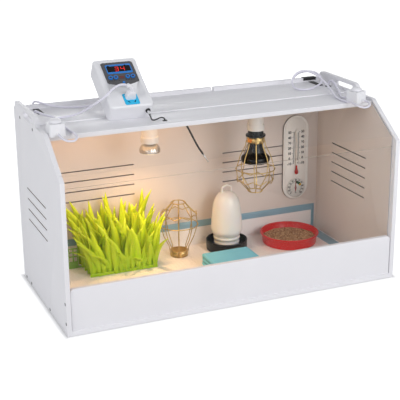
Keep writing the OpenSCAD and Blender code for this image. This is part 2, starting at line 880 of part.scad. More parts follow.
module front_board() {
    half = x_in - kick_gap;
    color("white")
        difference() {
            translate([0, y_front + kick_set + board_t, board_t])
                rotate([90, 0, 0])
                    linear_extrude(board_t) {
                        translate([-half, 0])
                            square([2 * half, kick_h - kick_r]);
                        translate([-half + kick_r, 0])
                            square([2 * (half - kick_r), kick_h]);
                        for (side = [-1, 1])
                            translate([side * (half - kick_r), kick_h - kick_r])
                                circle(r = kick_r);
                    }
            both_side_screw_holes();
        }
}

module lower_window() {
    half = x_in + groove_d - groove_clear;
    color("lightcyan", 0.35)
        translate([-half, y_front + pane_set, board_t])
            cube([2 * half, pane_t, pane_h]);
}

module upper_window() {
    half = x_in + groove_d - groove_clear;
    color("lightcyan", 0.35)
        on_slope()
            translate([-half, upper_from, -slope_inset - pane_t / 2])
                cube([2 * half, upper_to - upper_from, pane_t]);
}

// Thermostat

module on_stat_place() {
    translate(stat_place)
        rotate([-stat_lean, 0, 0])
            children();
}

// Upright slab in the thermostat frame, from y to y + d
module slab(w, h, r, x, z, y, d) {
    translate([x, y + d, z])
        rotate([90, 0, 0])
            linear_extrude(d)
                round_rect(w, h, r);
}

// Round bar in the thermostat frame, from y to y + d
module bar(dia, x, z, y, d) {
    translate([x, y + d, z])
        rotate([90, 0, 0])
            cylinder(d = dia, h = d);
}

button_places = [
    for (from_middle = [-button_x - button_pitch, -button_x, button_x, button_x + button_pitch])
        face_x + from_middle
];
inner_w = stat_w - 2 * stat_wall;
inner_h = stat_h - 2 * stat_wall;
inner_r = max(stat_r - stat_wall, 1);
socket_flange_t = 1.5;

// Dark face panel: round corners and a lower edge that bows down, grown by a clearance
module face_slab(grow, y, d) {
    corner = 6;
    chord = face_w - 2 * corner - 2;
    bow_r = (chord * chord / 4 + face_bow * face_bow) / (2 * face_bow);
    translate([face_x, y + d, face_z])
        rotate([90, 0, 0])
            linear_extrude(d) {
                round_rect(face_w + 2 * grow, face_h + 2 * grow, corner + grow);
                intersection() {
                    translate([0, bow_r - face_bow - face_h / 2])
                        circle(r = bow_r + grow);
                    translate([0, -face_h / 2])
                        square([chord, 2 * face_bow + 2], center = true);
                }
            }
}

module thermostat_front_shell() {
    color("whitesmoke")
        on_stat_place()
            difference() {
                slab(stat_w, stat_h, stat_r, 0, stat_h / 2, stat_front, stat_d - stat_back_d);
                slab(inner_w, inner_h, inner_r, 0, stat_h / 2, stat_front + stat_wall, stat_d);
                face_slab(0, stat_front - 1, 2);
                slab(display_w - 4, display_h - 4, 2, display_x, display_z, stat_front - 1, stat_wall + 2);
                for (x = button_places)
                    bar(button_d + 2 * button_clear, x, button_z, stat_front - 1, stat_wall + 2);
                slab(socket_w, socket_h, 4, socket_x, socket_z, stat_front - 1, stat_wall + 2);
                translate([jack_x, jack_y, -1])
                    cylinder(d = jack_d, h = stat_wall + 2);
            }
}

module thermostat_back_shell() {
    color("gainsboro")
        on_stat_place() {
            difference() {
                slab(stat_w, stat_h, stat_r, 0, stat_h / 2, -stat_back_d, stat_back_d);
                slab(inner_w, inner_h, inner_r, 0, stat_h / 2, -stat_back_d - 1, stat_back_d + 1 - stat_wall);
            }
            for (x = [-1, 1], z = [18, stat_h - 18])
                bar(7, x * (inner_w / 2 - 8), z, board_y + pcb_t, -board_y - pcb_t - stat_wall);
            bar(boss_d, lead_boss[0], lead_boss[2], 0, lead_boss[1]);
        }
}

module face_panel() {
    color("dimgray")
        on_stat_place()
            difference() {
                face_slab(-0.1, stat_front + 1 - face_t, face_t);
                slab(display_w, display_h, 3, display_x, display_z, stat_front - 2, 4);
                for (x = button_places)
                    bar(button_d + 2 * button_clear, x, button_z, stat_front - 2, 4);
            }
}

module display_window() {
    proud = 0.4;
    front = stat_front + 1 - face_t - proud;
    color("royalblue")
        on_stat_place() {
            slab(display_w - 0.2, display_h - 0.2, 2.9, display_x, display_z, front, face_t + proud);
            slab(display_w - 4.4, display_h - 4.4, 1.8, display_x, display_z, stat_front + 1, stat_wall - 1);
        }
}

// Push button: cap, retaining flange behind the shell's wall, and stem over its switch
module push_button(number) {
    stem_d = 4;
    x = button_places[number - 1];
    cap_from = stat_front + 1 - face_t - button_out;
    flange_from = stat_front + stat_wall + button_clear;
    stem_from = flange_from + flange_t;
    color("royalblue")
        on_stat_place() {
            bar(button_d, x, button_z, cap_from, flange_from - cap_from);
            bar(button_d + 2 * flange_rim, x, button_z, flange_from, flange_t);
            bar(stem_d, x, button_z, stem_from, switch_top - button_travel - 0.2 - stem_from);
        }
}
switch_top = board_y - 1.6;

module button_1() {
    push_button(1);
}

module button_2() {
    push_button(2);
}

module button_3() {
    push_button(3);
}

module button_4() {
    push_button(4);
}

module socket_insert() {
    slot_w = 3;
    free_slot_w = 2.4;
    free_slot_l = 6;
    free_slot_turn = 38;
    proud = 0.5;
    color("deepskyblue")
        on_stat_place()
            difference() {
                union() {
                    slab(socket_w - 0.4, socket_h - 0.4, 3.8, socket_x, socket_z, stat_front - proud,
                        stat_wall + 2);
                    slab(socket_w + 3, socket_h + 3, 4, socket_x, socket_z, stat_front + stat_wall,
                        socket_flange_t);
                    slab(socket_w - 4, socket_h - 4, 3, socket_x, socket_z, stat_front + stat_wall, 16);
                }
                for (side = [-1, 1]) {
                    translate([socket_x + side * 7, stat_front + 6, plug_z])
                        cube([slot_w, 16, 8], center = true);
                    translate([socket_x + side * 7, stat_front + 2, plug_z - plug_h / 2 - 5])
                        rotate([0, side * free_slot_turn, 0])
                            cube([free_slot_w, 12, free_slot_l], center = true);
                }
            }
}

module circuit_board() {
    color("darkgreen")
        on_stat_place()
            difference() {
                union() {
                    translate([-inner_w / 2 + 3, board_y, socket_z + socket_h / 2 + 4])
                        cube([inner_w - 6, pcb_t, inner_h - socket_z - socket_h / 2 - 4]);
                    for (x = [-1, 1])
                        translate([x * (inner_w / 2 - 8) - 5, board_y, stat_wall + 9])
                            cube([10, pcb_t, socket_z + socket_h / 2]);
                    for (x = button_places)
                        translate([x - 3, switch_top, button_z - 3])
                            cube([6, board_y - switch_top, 6]);
                }
                translate([socket_x, board_y, socket_z])
                    cube([socket_w + 1, 10, socket_h + 4], center = true);
            }
}

// Folded sheet: a foot on the roof and a leg that the back of the thermostat leans on
module thermostat_stand() {
    stand_off = 14;
    foot_l = 30;
    leg_y = stat_place[1] + stand_reach;
    function back_z(y) = roof_h + (y - stat_place[1]) / tan(stat_lean);
    color("silver")
        translate([stat_at + stand_off - stand_w / 2, 0, 0])
            rotate([90, 0, 90])
                linear_extrude(stand_w)
                    polygon([
                        [leg_y - foot_l, rear_roof_h], [leg_y, rear_roof_h], [leg_y, back_z(leg_y)],
                        [leg_y - stand_t, back_z(leg_y - stand_t)],
                        [leg_y - stand_t, rear_roof_h + stand_t], [leg_y - foot_l, rear_roof_h + stand_t]
                    ]);
}

module sensor_plug() {
    color("silver")
        on_stat_place()
            translate([jack_x, jack_y, 0]) {
                translate([0, 0, -jack_l])
                    cylinder(d = jack_d - 2, h = jack_l);
                translate([0, 0, -4])
                    cylinder(d = jack_d + 3, h = 4);
                cylinder(d = jack_d - 0.2, h = stat_wall + 6);
            }
}

module sensor_cable() {
    color("#202020")
        tube(sensor_route, sensor_d, 8);
}

module sensor_probe() {
    color("silver")
        translate(probe_place)
            rotate([0, 180 - probe_lean, 0]) {
                cylinder(d = probe_d, h = probe_l - probe_d / 2);
                translate([0, 0, probe_l - probe_d / 2])
                    sphere(d = probe_d);
            }
}

module power_plug() {
    pin_l = 12;
    boot_d = 8.5;
    color("white")
        on_stat_place() {
            slab(plug_w, plug_h, 5, socket_x, plug_z, stat_front - 0.5 - plug_l, plug_l);
            tube([for (p = boot_bend) plug_end + p], boot_d, 12);
            for (side = [-1, 1])
                translate([socket_x + side * 7 - 1, stat_front - 0.5 - eps, plug_z - 3])
                    cube([2, pin_l, 6]);
        }
}

// Dimmers

// Body on the roof with a cord boss at front and back and a bore for the knob's shaft
module dimmer_body() {
    shaft_l = 12;
    color("whitesmoke")
        difference() {
            union() {
                linear_extrude(dimmer_h)
                    round_rect(dimmer_w, dimmer_d, dimmer_r);
                translate([0, dimmer_d / 2 + boss_l, boss_z])
                    rotate([90, 0, 0])
                        cylinder(d = boss_d, h = dimmer_d + 2 * boss_l);
            }
            translate([0, 0, dimmer_h - shaft_l - 1])
                cylinder(d = shaft_d + 2 * shaft_clear, h = shaft_l + 2);
        }
}

// Domed knob on its shaft
module dimmer_knob() {
    shaft_l = 12;
    r = knob_d / 2;
    crown = knob_h - 2;
    color("white") {
        translate([0, 0, dimmer_h - shaft_l])
            cylinder(d = shaft_d, h = shaft_l + knob_gap + 1);
        translate([0, 0, dimmer_h + knob_gap])
            rotate_extrude()
                polygon(concat(
                    [[0, 0], [r, 0]],
                    [for (a = [0:10:90]) [r * cos(a), 2 + crown * sin(a)]]
                ));
    }
}

module at_left_dimmer() {
    translate([left_dimmer_x, dimmer_y, roof_h])
        children();
}

module at_right_dimmer() {
    translate([right_dimmer_x, dimmer_y, roof_h])
        rotate([0, 0, right_dimmer_turn])
            children();
}

module left_dimmer_body() {
    at_left_dimmer()
        dimmer_body();
}

module left_dimmer_knob() {
    at_left_dimmer()
        dimmer_knob();
}

module right_dimmer_body() {
    at_right_dimmer()
        dimmer_body();
}

module right_dimmer_knob() {
    at_right_dimmer()
        dimmer_knob();
}

// Lamps

// Holder under the roof, with its cord boss on the side that faces away from the box's middle
module lamp_holder(side) {
    skirt_l = 14;
    color("white")
        difference() {
            union() {
                translate([0, 0, rear_roof_under - holder_plate_t])
                    cylinder(d = holder_plate_d, h = holder_plate_t);
                translate([0, 0, holder_under + skirt_l])
                    cylinder(d = holder_d - 4, h = holder_l - skirt_l);
                translate([0, 0, holder_under])
                    cylinder(d = holder_d, h = skirt_l);
                translate([0, 0, lamp_boss_z])
                    rotate([0, side * 90, 0])
                        cylinder(d = boss_d, h = holder_d / 2 + boss_l);
            }
            translate([0, 0, holder_under - 1])
                cylinder(d = base_d + 2 * base_clear, h = base_l + 1);
        }
}

module left_lamp_holder() {
    translate([left_lamp_at, lamp_y, 0])
        lamp_holder(-1);
}

module right_lamp_holder() {
    translate([right_lamp_at, lamp_y, 0])
        lamp_holder(1);
}

module reflector_lamp() {
    rim_h = 6;
    lens_h = 4;
    lens_r = (reflector_d * reflector_d / 4 + lens_h * lens_h) / (2 * lens_h);
    color("lightyellow")
        translate([left_lamp_at, lamp_y, holder_under])
            rotate_extrude()
                polygon(concat(
                    [
                        [0, base_l], [base_d / 2, base_l], [base_d / 2, -4],
                        [reflector_d / 2, lens_h + rim_h - reflector_l],
                        [reflector_d / 2, lens_h - reflector_l]
                    ],
                    [
                        for (i = [1:6])
                            let (r = reflector_d / 2 * (1 - i / 6))
                            [r, lens_h - reflector_l - sqrt(lens_r * lens_r - r * r) + lens_r - lens_h]
                    ]
                ));
}

module lamp_collar() {
    flange_h = 4;
    color("#202020")
        translate([right_lamp_at, lamp_y, guard_top])
            difference() {
                union() {
                    cylinder(d = holder_d - 4, h = collar_h);
                    cylinder(d = guard_collar_d + 4, h = flange_h);
                }
                translate([0, 0, -1])
                    cylinder(d = base_d + 2 * base_clear, h = collar_h + 2);
            }
}

module ceramic_emitter() {
    neck_l = collar_h + guard_collar_h - 2;
    rim = 8;
    color("#252525")
        translate([right_lamp_at, lamp_y, holder_under])
            rotate_extrude()
                polygon(concat(
                    [
                        [0, base_l], [base_d / 2, base_l], [base_d / 2, -neck_l],
                        [emitter_d * 0.3, -neck_l - 14], [emitter_d / 2, -emitter_l + rim]
                    ],
                    [
                        for (a = [15:15:90])
                            [emitter_d / 2 - rim + rim * cos(a), -emitter_l + rim - rim * sin(a)]
                    ],
                    [[0, -emitter_l]]
                ));
}

// Ring of wire that waves up and down between the upright wires
module wire_ring(r, z, wave) {
    count = 4 * wire_count;
    tube(
        [
            for (i = [0:count - 1])
                [r * cos(i * 360 / count), r * sin(i * 360 / count), z + wave * sin(i * 90)]
        ],
        wire_d, 6, true
    );
}

// Guard that hangs from its collar, with the top of the collar at height 0
module guard() {
    r = guard_d / 2 - wire_d;
    collar_r = guard_collar_d / 2;
    end_r = guard_end_d / 2;
    belly_z = -guard_collar_h - guard_l * 0.54;
    low_z = belly_z - guard_l * 0.22;
    end_z = -guard_collar_h - guard_l + wire_d / 2;
    weld = 0.55 * wire_d;
    profile = [
        [collar_r, -guard_collar_h + 5], [collar_r + 2, -guard_collar_h - 8],
        [r * 0.8, belly_z + guard_l * 0.26], [r, belly_z], [r * 0.93, low_z], [end_r, end_z]
    ];
    difference() {
        translate([0, 0, -guard_collar_h])
            cylinder(d = guard_collar_d, h = guard_collar_h);
        translate([0, 0, -guard_collar_h - 1])
            cylinder(d = guard_collar_d - 4, h = guard_collar_h + 2);
    }
    for (i = [0:wire_count - 1])
        rotate([0, 0, (i + 0.5) * 360 / wire_count])
            tube([for (p = profile) [p[0], 0, p[1]]], wire_d, 6, false);
    wire_ring(r + weld, belly_z, 0);
    wire_ring(r * 0.93 + weld, low_z, 4);
    wire_ring(end_r, end_z - weld, 0);
}

module lamp_guard() {
    color("#9a7230")
        translate([right_lamp_at, lamp_y, guard_top])
            guard();
}

module spare_guard() {
    color("#9a7230")
        translate([spare_at, spare_y, pad_top])
            mirror([0, 0, 1])
                guard();
}

// Wall instrument

// Bar along Y whose front end is at y
module gauge_bar(dia, z, y, d) {
    translate([gauge_x, y + d, z])
        rotate([90, 0, 0])
            cylinder(d = dia, h = d);
}

module gauge_plate() {
    color("white")
        translate([gauge_x, y_wall, gauge_z + gauge_h / 2])
            rotate([90, 0, 0])
                linear_extrude(gauge_t)
                    rotate(90)
                        slot(gauge_h, gauge_w);
}

module thermometer_tube() {
    color("mistyrose")
        translate([gauge_x, gauge_face - bulb_d / 2, bulb_z]) {
            sphere(d = bulb_d);
            cylinder(d = tube_d, h = tube_l - tube_d / 2);
            translate([0, 0, tube_l - tube_d / 2])
                sphere(d = tube_d);
            translate([-tube_d / 2, 0, tube_l - 12])
                cube([tube_d, bulb_d / 2, 6]);
        }
}

module hygrometer_dial() {
    color("honeydew") {
        gauge_bar(dial_d, dial_z, gauge_face - dial_t, dial_t);
        gauge_bar(pin_d, dial_z, gauge_face - dial_t - 2.6, 2.7);
    }
}

module hygrometer_needle() {
    hub_d = 6;
    needle_t = 1;
    needle_l = dial_d / 2 - 5;
    front = gauge_face - dial_t - 0.3 - needle_t;
    color("red")
        difference() {
            union() {
                gauge_bar(hub_d, dial_z, front, needle_t);
                translate([gauge_x, front + needle_t, dial_z])
                    rotate([90, 0, 0])
                        linear_extrude(needle_t)
                            polygon([
                                [-1.2, 0], [-1, -needle_l / 2], [1, -needle_l / 2], [1.2, 0],
                                [0.4, needle_l], [-0.4, needle_l]
                            ]);
            }
            gauge_bar(pin_d + 2 * needle_clear, dial_z, front - 1, needle_t + 2);
        }
}

module dial_cover() {
    rim = 1.6;
    color("aliceblue", 0.4)
        difference() {
            gauge_bar(dial_d + 2 * rim + 0.4, dial_z, gauge_face - cover_h, cover_h);
            gauge_bar(dial_d + 0.4, dial_z, gauge_face - cover_h + rim, cover_h);
        }
}

// Drinker and feeder

module drinker_tray() {
    seat_out = neck_d / 2 + 3;
    seat_in = neck_d / 2 - wall_t - 3;
    color("#202020")
        translate([drinker_at, drinker_y, pad_top])
            rotate_extrude() {
                square([tray_d / 2, wall_t]);
                translate([tray_d / 2 - wall_t, 0])
                    square([wall_t, tray_h]);
                translate([seat_in, 0])
                    square([seat_out - seat_in, wall_t + seat_h]);
            }
}

// Outline of the jar from its mouth up to its crown, grown or shrunk by a wall
function jar_outline(wall) = concat(
    [[neck_d / 2 - wall, 0], [neck_d / 2 - wall, 34], [jar_d / 2 - 2 - wall, 48]],
    [
        for (a = [0:10:90])
            [(jar_d / 2 - wall) * cos(a), 62 + (jar_h - 62 - wall) * sin(a)]
    ]
);

module drinker_jar() {
    color("oldlace")
        translate([drinker_at, drinker_y, jar_z])
            difference() {
                rotate_extrude()
                    polygon(concat([[0, 0]], jar_outline(0)));
                translate([0, 0, -eps])
                    rotate_extrude()
                        polygon(concat([[0, 0]], jar_outline(wall_t)));
            }
}

module drinker_handle() {
    thick = 6;
    foot = 2.5;
    half = 14;
    color("oldlace")
        translate([drinker_at, drinker_y + thick / 2, jar_top])
            rotate([90, 0, 0])
                linear_extrude(thick)
                    difference() {
                        polygon([
                            [-half, foot], [-half + 3, handle_h - 4], [-half + 8, handle_h],
                            [half - 8, handle_h], [half - 3, handle_h - 4], [half, foot], [5, 0], [-5, 0]
                        ]);
                        polygon([
                            [-half + 4, foot + 2.5], [-half + 6.5, handle_h - 5.5],
                            [-half + 9.5, handle_h - 3.5], [half - 9.5, handle_h - 3.5],
                            [half - 6.5, handle_h - 5.5], [half - 4, foot + 2.5]
                        ]);
                    }
}

module feeder_dish() {
    rim = 4;
    color("firebrick")
        translate([feeder_at, feeder_y, pad_top])
            rotate_extrude() {
                square([dish_d / 2 - rim, wall_t]);
                translate([dish_d / 2 - rim - wall_t, 0])
                    square([wall_t, dish_h]);
                translate([dish_d / 2 - rim - wall_t, dish_h - wall_t])
                    square([rim + wall_t, wall_t]);
            }
}

module feed() {
    color("peru")
        translate([feeder_at, feeder_y, pad_top + wall_t])
            cylinder(d = dish_d - 2 * 4 - 2 * wall_t - 0.6, h = feed_h);
}

// Grass and pads

// Sheet of blades with blunt tips, four corners a blade. The tips fan out from one lean to the other.
module blade_sheet(span, count, tall, turn, lean_from, lean_to) {
    step = span / count;
    base_h = 10;
    notch = 3;
    tip_w = 2;
    function lean(i) = lean_from + (lean_to - lean_from) * i / (count - 1);
    function tip_x(i) = step * (i + 0.5 + 0.2 * sin(131 * i + turn)) + lean(i);
    function tip_h(i) = tall * (0.87 + 0.13 * sin(67 * i + 2 * turn));
    linear_extrude(blade_t)
        polygon(concat(
            [[0, 0]],
            [
                for (i = [0:count - 1], corner = [0:3])
                    corner == 0 ? [i * step + notch / 2, base_h]
                    : corner == 1 ? [tip_x(i) - tip_w / 2, tip_h(i)]
                    : corner == 2 ? [tip_x(i) + tip_w / 2, tip_h(i)]
                    : [(i + 1) * step - notch / 2, base_h]
            ],
            [[span, 0]]
        ));
}

// Small upright lattice beside the blades, with a foot that reaches under them
module grass_lattice() {
    lattice_w = 24;
    lattice_h = 51;
    lattice_y = grass_y + 3.2 * grass_pitch;
    gap_to_blades = 7;
    hole = 8;
    bar_w = 3;
    solid_h = 17;
    foot_h = 3;
    foot_d = 6;
    foot_under = 12;
    translate([grass_x - gap_to_blades - lattice_w, lattice_y, pad_top]) {
        difference() {
            cube([lattice_w, blade_t, lattice_h]);
            for (column = [0, 1], row = [0:2])
                translate([
                    lattice_w / 2 + (column == 0 ? -hole - bar_w / 2 : bar_w / 2),
                    -1, solid_h + row * (hole + bar_w)
                ])
                    cube([hole, blade_t + 2, hole]);
        }
        translate([1, (blade_t - foot_d) / 2, 0])
            cube([lattice_w + gap_to_blades + foot_under, foot_d, foot_h]);
    }
}

module grass_mat() {
    mat_t = 3;
    rail = 6;
    rail_inset = 20;
    rail_out = 1.5;
    rail_count = 4;
    rail_step = (grass_span - rail - 2 * rail_inset) / (rail_count - 1);
    side_inset = 6;
    side_blades = 7;
    side_tall = 0.7 * grass_h;
    front_tall = 0.66 * grass_h;
    color("yellowgreen") {
        for (row = [0:grass_rows - 1])
            translate([grass_x, grass_y + row * grass_pitch + blade_t, pad_top])
                rotate([90, 0, 0])
                    blade_sheet(
                        grass_span, blade_count,
                        front_tall + (grass_h - front_tall) * row / (grass_rows - 1),
                        57 * row, -grass_lean_l * wide, grass_lean_r * wide
                    );
        for (x = [side_inset, grass_span - side_inset - blade_t])
            translate([grass_x + x, grass_y - rail_out, pad_top])
                rotate([90, 0, 90])
                    blade_sheet(grass_deep + 2 * rail_out, side_blades, side_tall, 31 * x, 0, 0);
        for (i = [0:rail_count - 1])
            translate([grass_x + rail_inset + i * rail_step, grass_y - rail_out, pad_top])
                cube([rail, grass_deep + 2 * rail_out, mat_t]);
        grass_lattice();
    }
}

// Pad on the floor whose rear edge turns up the back panel
module floor_pad() {
    y_from = y_front + pad_front;
    y_to = y_wall - 0.3;
    color("lavenderblush")
        translate([-x_in + pad_gap, 0, board_t])
            rotate([90, 0, 90])
                linear_extrude(2 * (x_in - pad_gap))
                    polygon([
                        [y_from, 0], [y_to, 0], [y_to, pad_t + pad_turn_h],
                        [y_to - pad_turn_t, pad_t + pad_turn_h], [y_to - pad_turn_t, pad_t], [y_from, pad_t]
                    ]);
}

module pad_pack() {
    color("mediumturquoise")
        translate([pack_place[0] + pack_w / 2, pack_place[1] + pack_d / 2, pad_top])
            linear_extrude(pack_h)
                round_rect(pack_w, pack_d, 7);
}

// Cords

module thermostat_lead() {
    color("white")
        tube(thermostat_lead_route, cord_d, 8);
}

module plug_lead() {
    color("white")
        tube(plug_lead_route, cord_d, 8);
}

module left_lamp_lead() {
    color("white")
        tube(left_lamp_route, cord_d, 8);
}

module right_lamp_lead() {
    color("white")
        tube(right_lamp_route, cord_d, 8);
}

module right_lead() {
    color("white")
        tube(right_lead_route, cord_d, 8);
}

module at_left_coil() {
    translate([left_coil_x, coil_y, 0])
        children();
}

module at_right_coil() {
    translate([right_coil_x, coil_y, 0])
        mirror([1, 0, 0])
            children();
}

module thermostat_coil() {
    color("white")
        at_left_coil()
            tube(coil_path, cord_d, 6);
}

module right_coil() {
    color("white")
        at_right_coil()
            tube(coil_path, cord_d, 6);
}

// Plug at the end of a coil: strain relief, body and two pins
module mains_plug() {
    relief_d = 9;
    body_l = 36;
    pin_l = 18;
    cord_z = cord_d / 2 + coil_pitch;
    translate([coil_tail, 0, cord_z])
        rotate([0, 90, 0]) {
            cylinder(d1 = relief_d - 1, d2 = relief_d + 4, h = relief_l);
            translate([0, 0, relief_l])
                linear_extrude(body_l)
                    round_rect(2 * cord_z, 26, 6);
            for (y = [-1, 1])
                translate([0, y * 6.5, relief_l + body_l])
                    cylinder(d = 4, h = pin_l);
        }
}

module mains_plugs() {
    color("white") {
        at_left_coil()
            mains_plug();
        at_right_coil()
            mains_plug();
    }
}

// Flat black straps: two lie on the roof, one hangs over the lip
module cord_ties() {
    strap_t = 1.4;
    strap_w = 14;
    strap_l = 52;
    strap_from_wall = 5;
    left_strap_gap = 30;
    right_strap_gap = 20;
    saddle_w = 36;
    saddle_gap = 10;
    saddle_drop = 14;
    strap_y = y_wall - strap_from_wall - strap_l;
    color("#202020") {
        translate([-x_in + left_strap_gap, strap_y, rear_roof_h])
            cube([strap_w, strap_l, strap_t]);
        translate([x_in - right_strap_gap - strap_w, strap_y, rear_roof_h])
            cube([strap_w, strap_l, strap_t]);
        translate([x_in - saddle_gap - saddle_w, 0, 0])
            rotate([90, 0, 90])
                linear_extrude(saddle_w)
                    difference() {
                        translate([y_wall - strap_t, lip_h - 6])
                            square([board_t + 2 * strap_t, 6 + strap_t]);
                        translate([y_wall, lip_h - saddle_drop - 1])
                            square([board_t, saddle_drop + 1]);
                    }
    }
}

floor_panel();
left_side_panel();
right_side_panel();
back_panel();
roof_front_board();
roof_rear_board();
front_board();
panel_screws();
lower_window();
upper_window();
thermostat_front_shell();
thermostat_back_shell();
face_panel();
display_window();
button_1();
button_2();
button_3();
button_4();
socket_insert();
circuit_board();
thermostat_stand();
sensor_plug();
sensor_cable();
sensor_probe();
roof_grommets();
power_plug();
left_dimmer_body();
left_dimmer_knob();
right_dimmer_body();
right_dimmer_knob();
left_lamp_holder();
reflector_lamp();
right_lamp_holder();
lamp_collar();
ceramic_emitter();
lamp_guard();
spare_guard();
gauge_plate();
thermometer_tube();
hygrometer_dial();
hygrometer_needle();
dial_cover();
drinker_tray();
drinker_jar();
drinker_handle();
feeder_dish();
feed();
grass_mat();
floor_pad();
pad_pack();
thermostat_lead();
thermostat_coil();
plug_lead();
left_lamp_lead();
right_lamp_lead();
right_lead();
right_coil();
mains_plugs();
cord_ties();
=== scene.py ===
"""Brooder box with its heat lamps, thermostat and furniture, dressed for the picture.

Metres, in the CAD frame.
"""

import json
import math
import random

import bmesh
import bpy
from mathutils import Matrix, Vector, noise

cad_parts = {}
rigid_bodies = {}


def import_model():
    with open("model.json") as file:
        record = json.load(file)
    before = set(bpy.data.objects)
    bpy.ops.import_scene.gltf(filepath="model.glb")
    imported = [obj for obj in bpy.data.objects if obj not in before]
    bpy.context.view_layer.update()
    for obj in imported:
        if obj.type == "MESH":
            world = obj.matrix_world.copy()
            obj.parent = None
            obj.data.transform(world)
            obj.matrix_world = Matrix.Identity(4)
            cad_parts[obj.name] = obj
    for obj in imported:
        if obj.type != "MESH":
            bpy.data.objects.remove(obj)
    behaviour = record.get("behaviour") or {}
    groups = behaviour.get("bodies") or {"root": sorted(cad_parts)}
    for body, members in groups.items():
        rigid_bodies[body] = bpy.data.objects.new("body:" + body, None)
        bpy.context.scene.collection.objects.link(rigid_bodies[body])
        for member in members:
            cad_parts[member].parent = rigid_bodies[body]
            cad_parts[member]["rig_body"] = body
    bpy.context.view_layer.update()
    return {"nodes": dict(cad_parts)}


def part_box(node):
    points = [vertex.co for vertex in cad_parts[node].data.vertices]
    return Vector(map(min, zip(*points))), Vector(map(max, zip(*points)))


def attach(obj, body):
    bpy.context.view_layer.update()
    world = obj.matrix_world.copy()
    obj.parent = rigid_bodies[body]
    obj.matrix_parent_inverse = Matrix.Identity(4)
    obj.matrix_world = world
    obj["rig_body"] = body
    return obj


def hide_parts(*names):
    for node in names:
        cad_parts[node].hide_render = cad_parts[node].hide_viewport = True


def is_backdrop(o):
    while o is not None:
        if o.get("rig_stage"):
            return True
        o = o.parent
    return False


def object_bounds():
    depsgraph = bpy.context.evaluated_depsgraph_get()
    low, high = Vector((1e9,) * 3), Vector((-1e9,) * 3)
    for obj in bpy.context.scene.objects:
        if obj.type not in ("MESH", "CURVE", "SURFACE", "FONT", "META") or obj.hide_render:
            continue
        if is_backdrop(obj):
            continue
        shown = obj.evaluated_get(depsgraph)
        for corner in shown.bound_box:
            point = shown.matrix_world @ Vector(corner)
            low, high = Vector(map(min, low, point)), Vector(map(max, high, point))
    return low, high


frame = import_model()
nodes = frame["nodes"]
scene = bpy.context.scene
scene.view_settings.view_transform = "Standard"

# The camera stands in front of the left half of the box and above its roof. A long lens looks down
# on the roof, the left side and the open front.
lens_turn, lens_dip, lens_roll = 0.4008, 0.3202, -0.0089
lens_long, lens_place = 92.13, (-0.9018, -2.0849, 0.9449)
ahead = Vector(
    (
        math.sin(lens_turn) * math.cos(lens_dip),
        math.cos(lens_turn) * math.cos(lens_dip),
        -math.sin(lens_dip),
    )
)
level = Vector((math.cos(lens_turn), -math.sin(lens_turn), 0))
upward = level.cross(ahead)
across = math.cos(lens_roll) * level + math.sin(lens_roll) * upward
upward = math.cos(lens_roll) * upward - math.sin(lens_roll) * level
camera = bpy.data.objects.new("camera", bpy.data.cameras.new("camera"))
camera.data.sensor_width = 36
camera.data.lens = lens_long
camera.matrix_world = (
    Matrix.Translation(lens_place) @ Matrix((across, upward, -ahead)).transposed().to_4x4()
)
scene.collection.objects.link(camera)
scene.camera = camera

# The studio is a white sweep under soft light: a large softbox in front, smaller ones on the left and
# behind, and a dim even sky. The sweep looks white to the lens and still takes the box's shadow; its
# lift is weaker near the box, and a narrow line round the foot of the box is left dimmer as a painted
# contact shadow.
sky_level = 0.42
near_lift, paper_lift, foot_shadow_line = 0.62, 0.78, 0.012
box_half_wide, box_half_deep = 0.4, 0.185


def worked(tree, operation, *terms):
    """The result of a Math node on sockets or plain numbers."""
    step = tree.nodes.new("ShaderNodeMath")
    step.operation = operation
    for slot, term in zip(step.inputs, terms):
        if isinstance(term, bpy.types.NodeSocket):
            tree.links.new(term, slot)
        else:
            slot.default_value = term
    return step.outputs[0]


def lens_sees(tree):
    """1 for what the lens sees straight on, in a gloss or through a pane, and 0 for other light."""
    ray = tree.nodes.new("ShaderNodeLightPath")
    look = worked(tree, "MAXIMUM", ray.outputs["Is Camera Ray"], ray.outputs["Is Glossy Ray"])
    return worked(tree, "MAXIMUM", look, ray.outputs["Is Transmission Ray"])


world = bpy.data.worlds.new("studio")
world.use_nodes = True
scene.world = world
sky = world.node_tree
sky.nodes.clear()
dome = sky.nodes.new("ShaderNodeBackground")
dome.inputs["Color"].default_value = (0.95, 0.97, 1.0, 1)
dome.inputs["Strength"].default_value = sky_level
paper = sky.nodes.new("ShaderNodeBackground")
paper.inputs["Color"].default_value = (1, 1, 1, 1)
paper.inputs["Strength"].default_value = 1.0
pick = sky.nodes.new("ShaderNodeMixShader")
sky.links.new(lens_sees(sky), pick.inputs["Fac"])
sky.links.new(dome.outputs[0], pick.inputs[1])
sky.links.new(paper.outputs[0], pick.inputs[2])
sky_out = sky.nodes.new("ShaderNodeOutputWorld")
sky.links.new(pick.outputs[0], sky_out.inputs["Surface"])


def softbox(name, place, target, width, power):
    """A square cloth light that faces the target."""
    cloth = bpy.data.lights.new(name, "AREA")
    cloth.size = width
    cloth.energy = power
    lamp = bpy.data.objects.new(name, cloth)
    lamp.location = place
    lamp.rotation_euler = (Vector(target) - Vector(place)).to_track_quat("-Z", "Y").to_euler()
    lamp.visible_camera = False
    scene.collection.objects.link(lamp)


box_middle = (0, 0, 0.2)
softbox("front_softbox", (0.9, -2.6, 1.3), box_middle, 1.6, 36)
softbox("left_softbox", (-2.4, -0.9, 1.2), box_middle, 1.2, 16.5)
softbox("back_softbox", (0.5, 2.6, 0.6), box_middle, 0.9, 10)

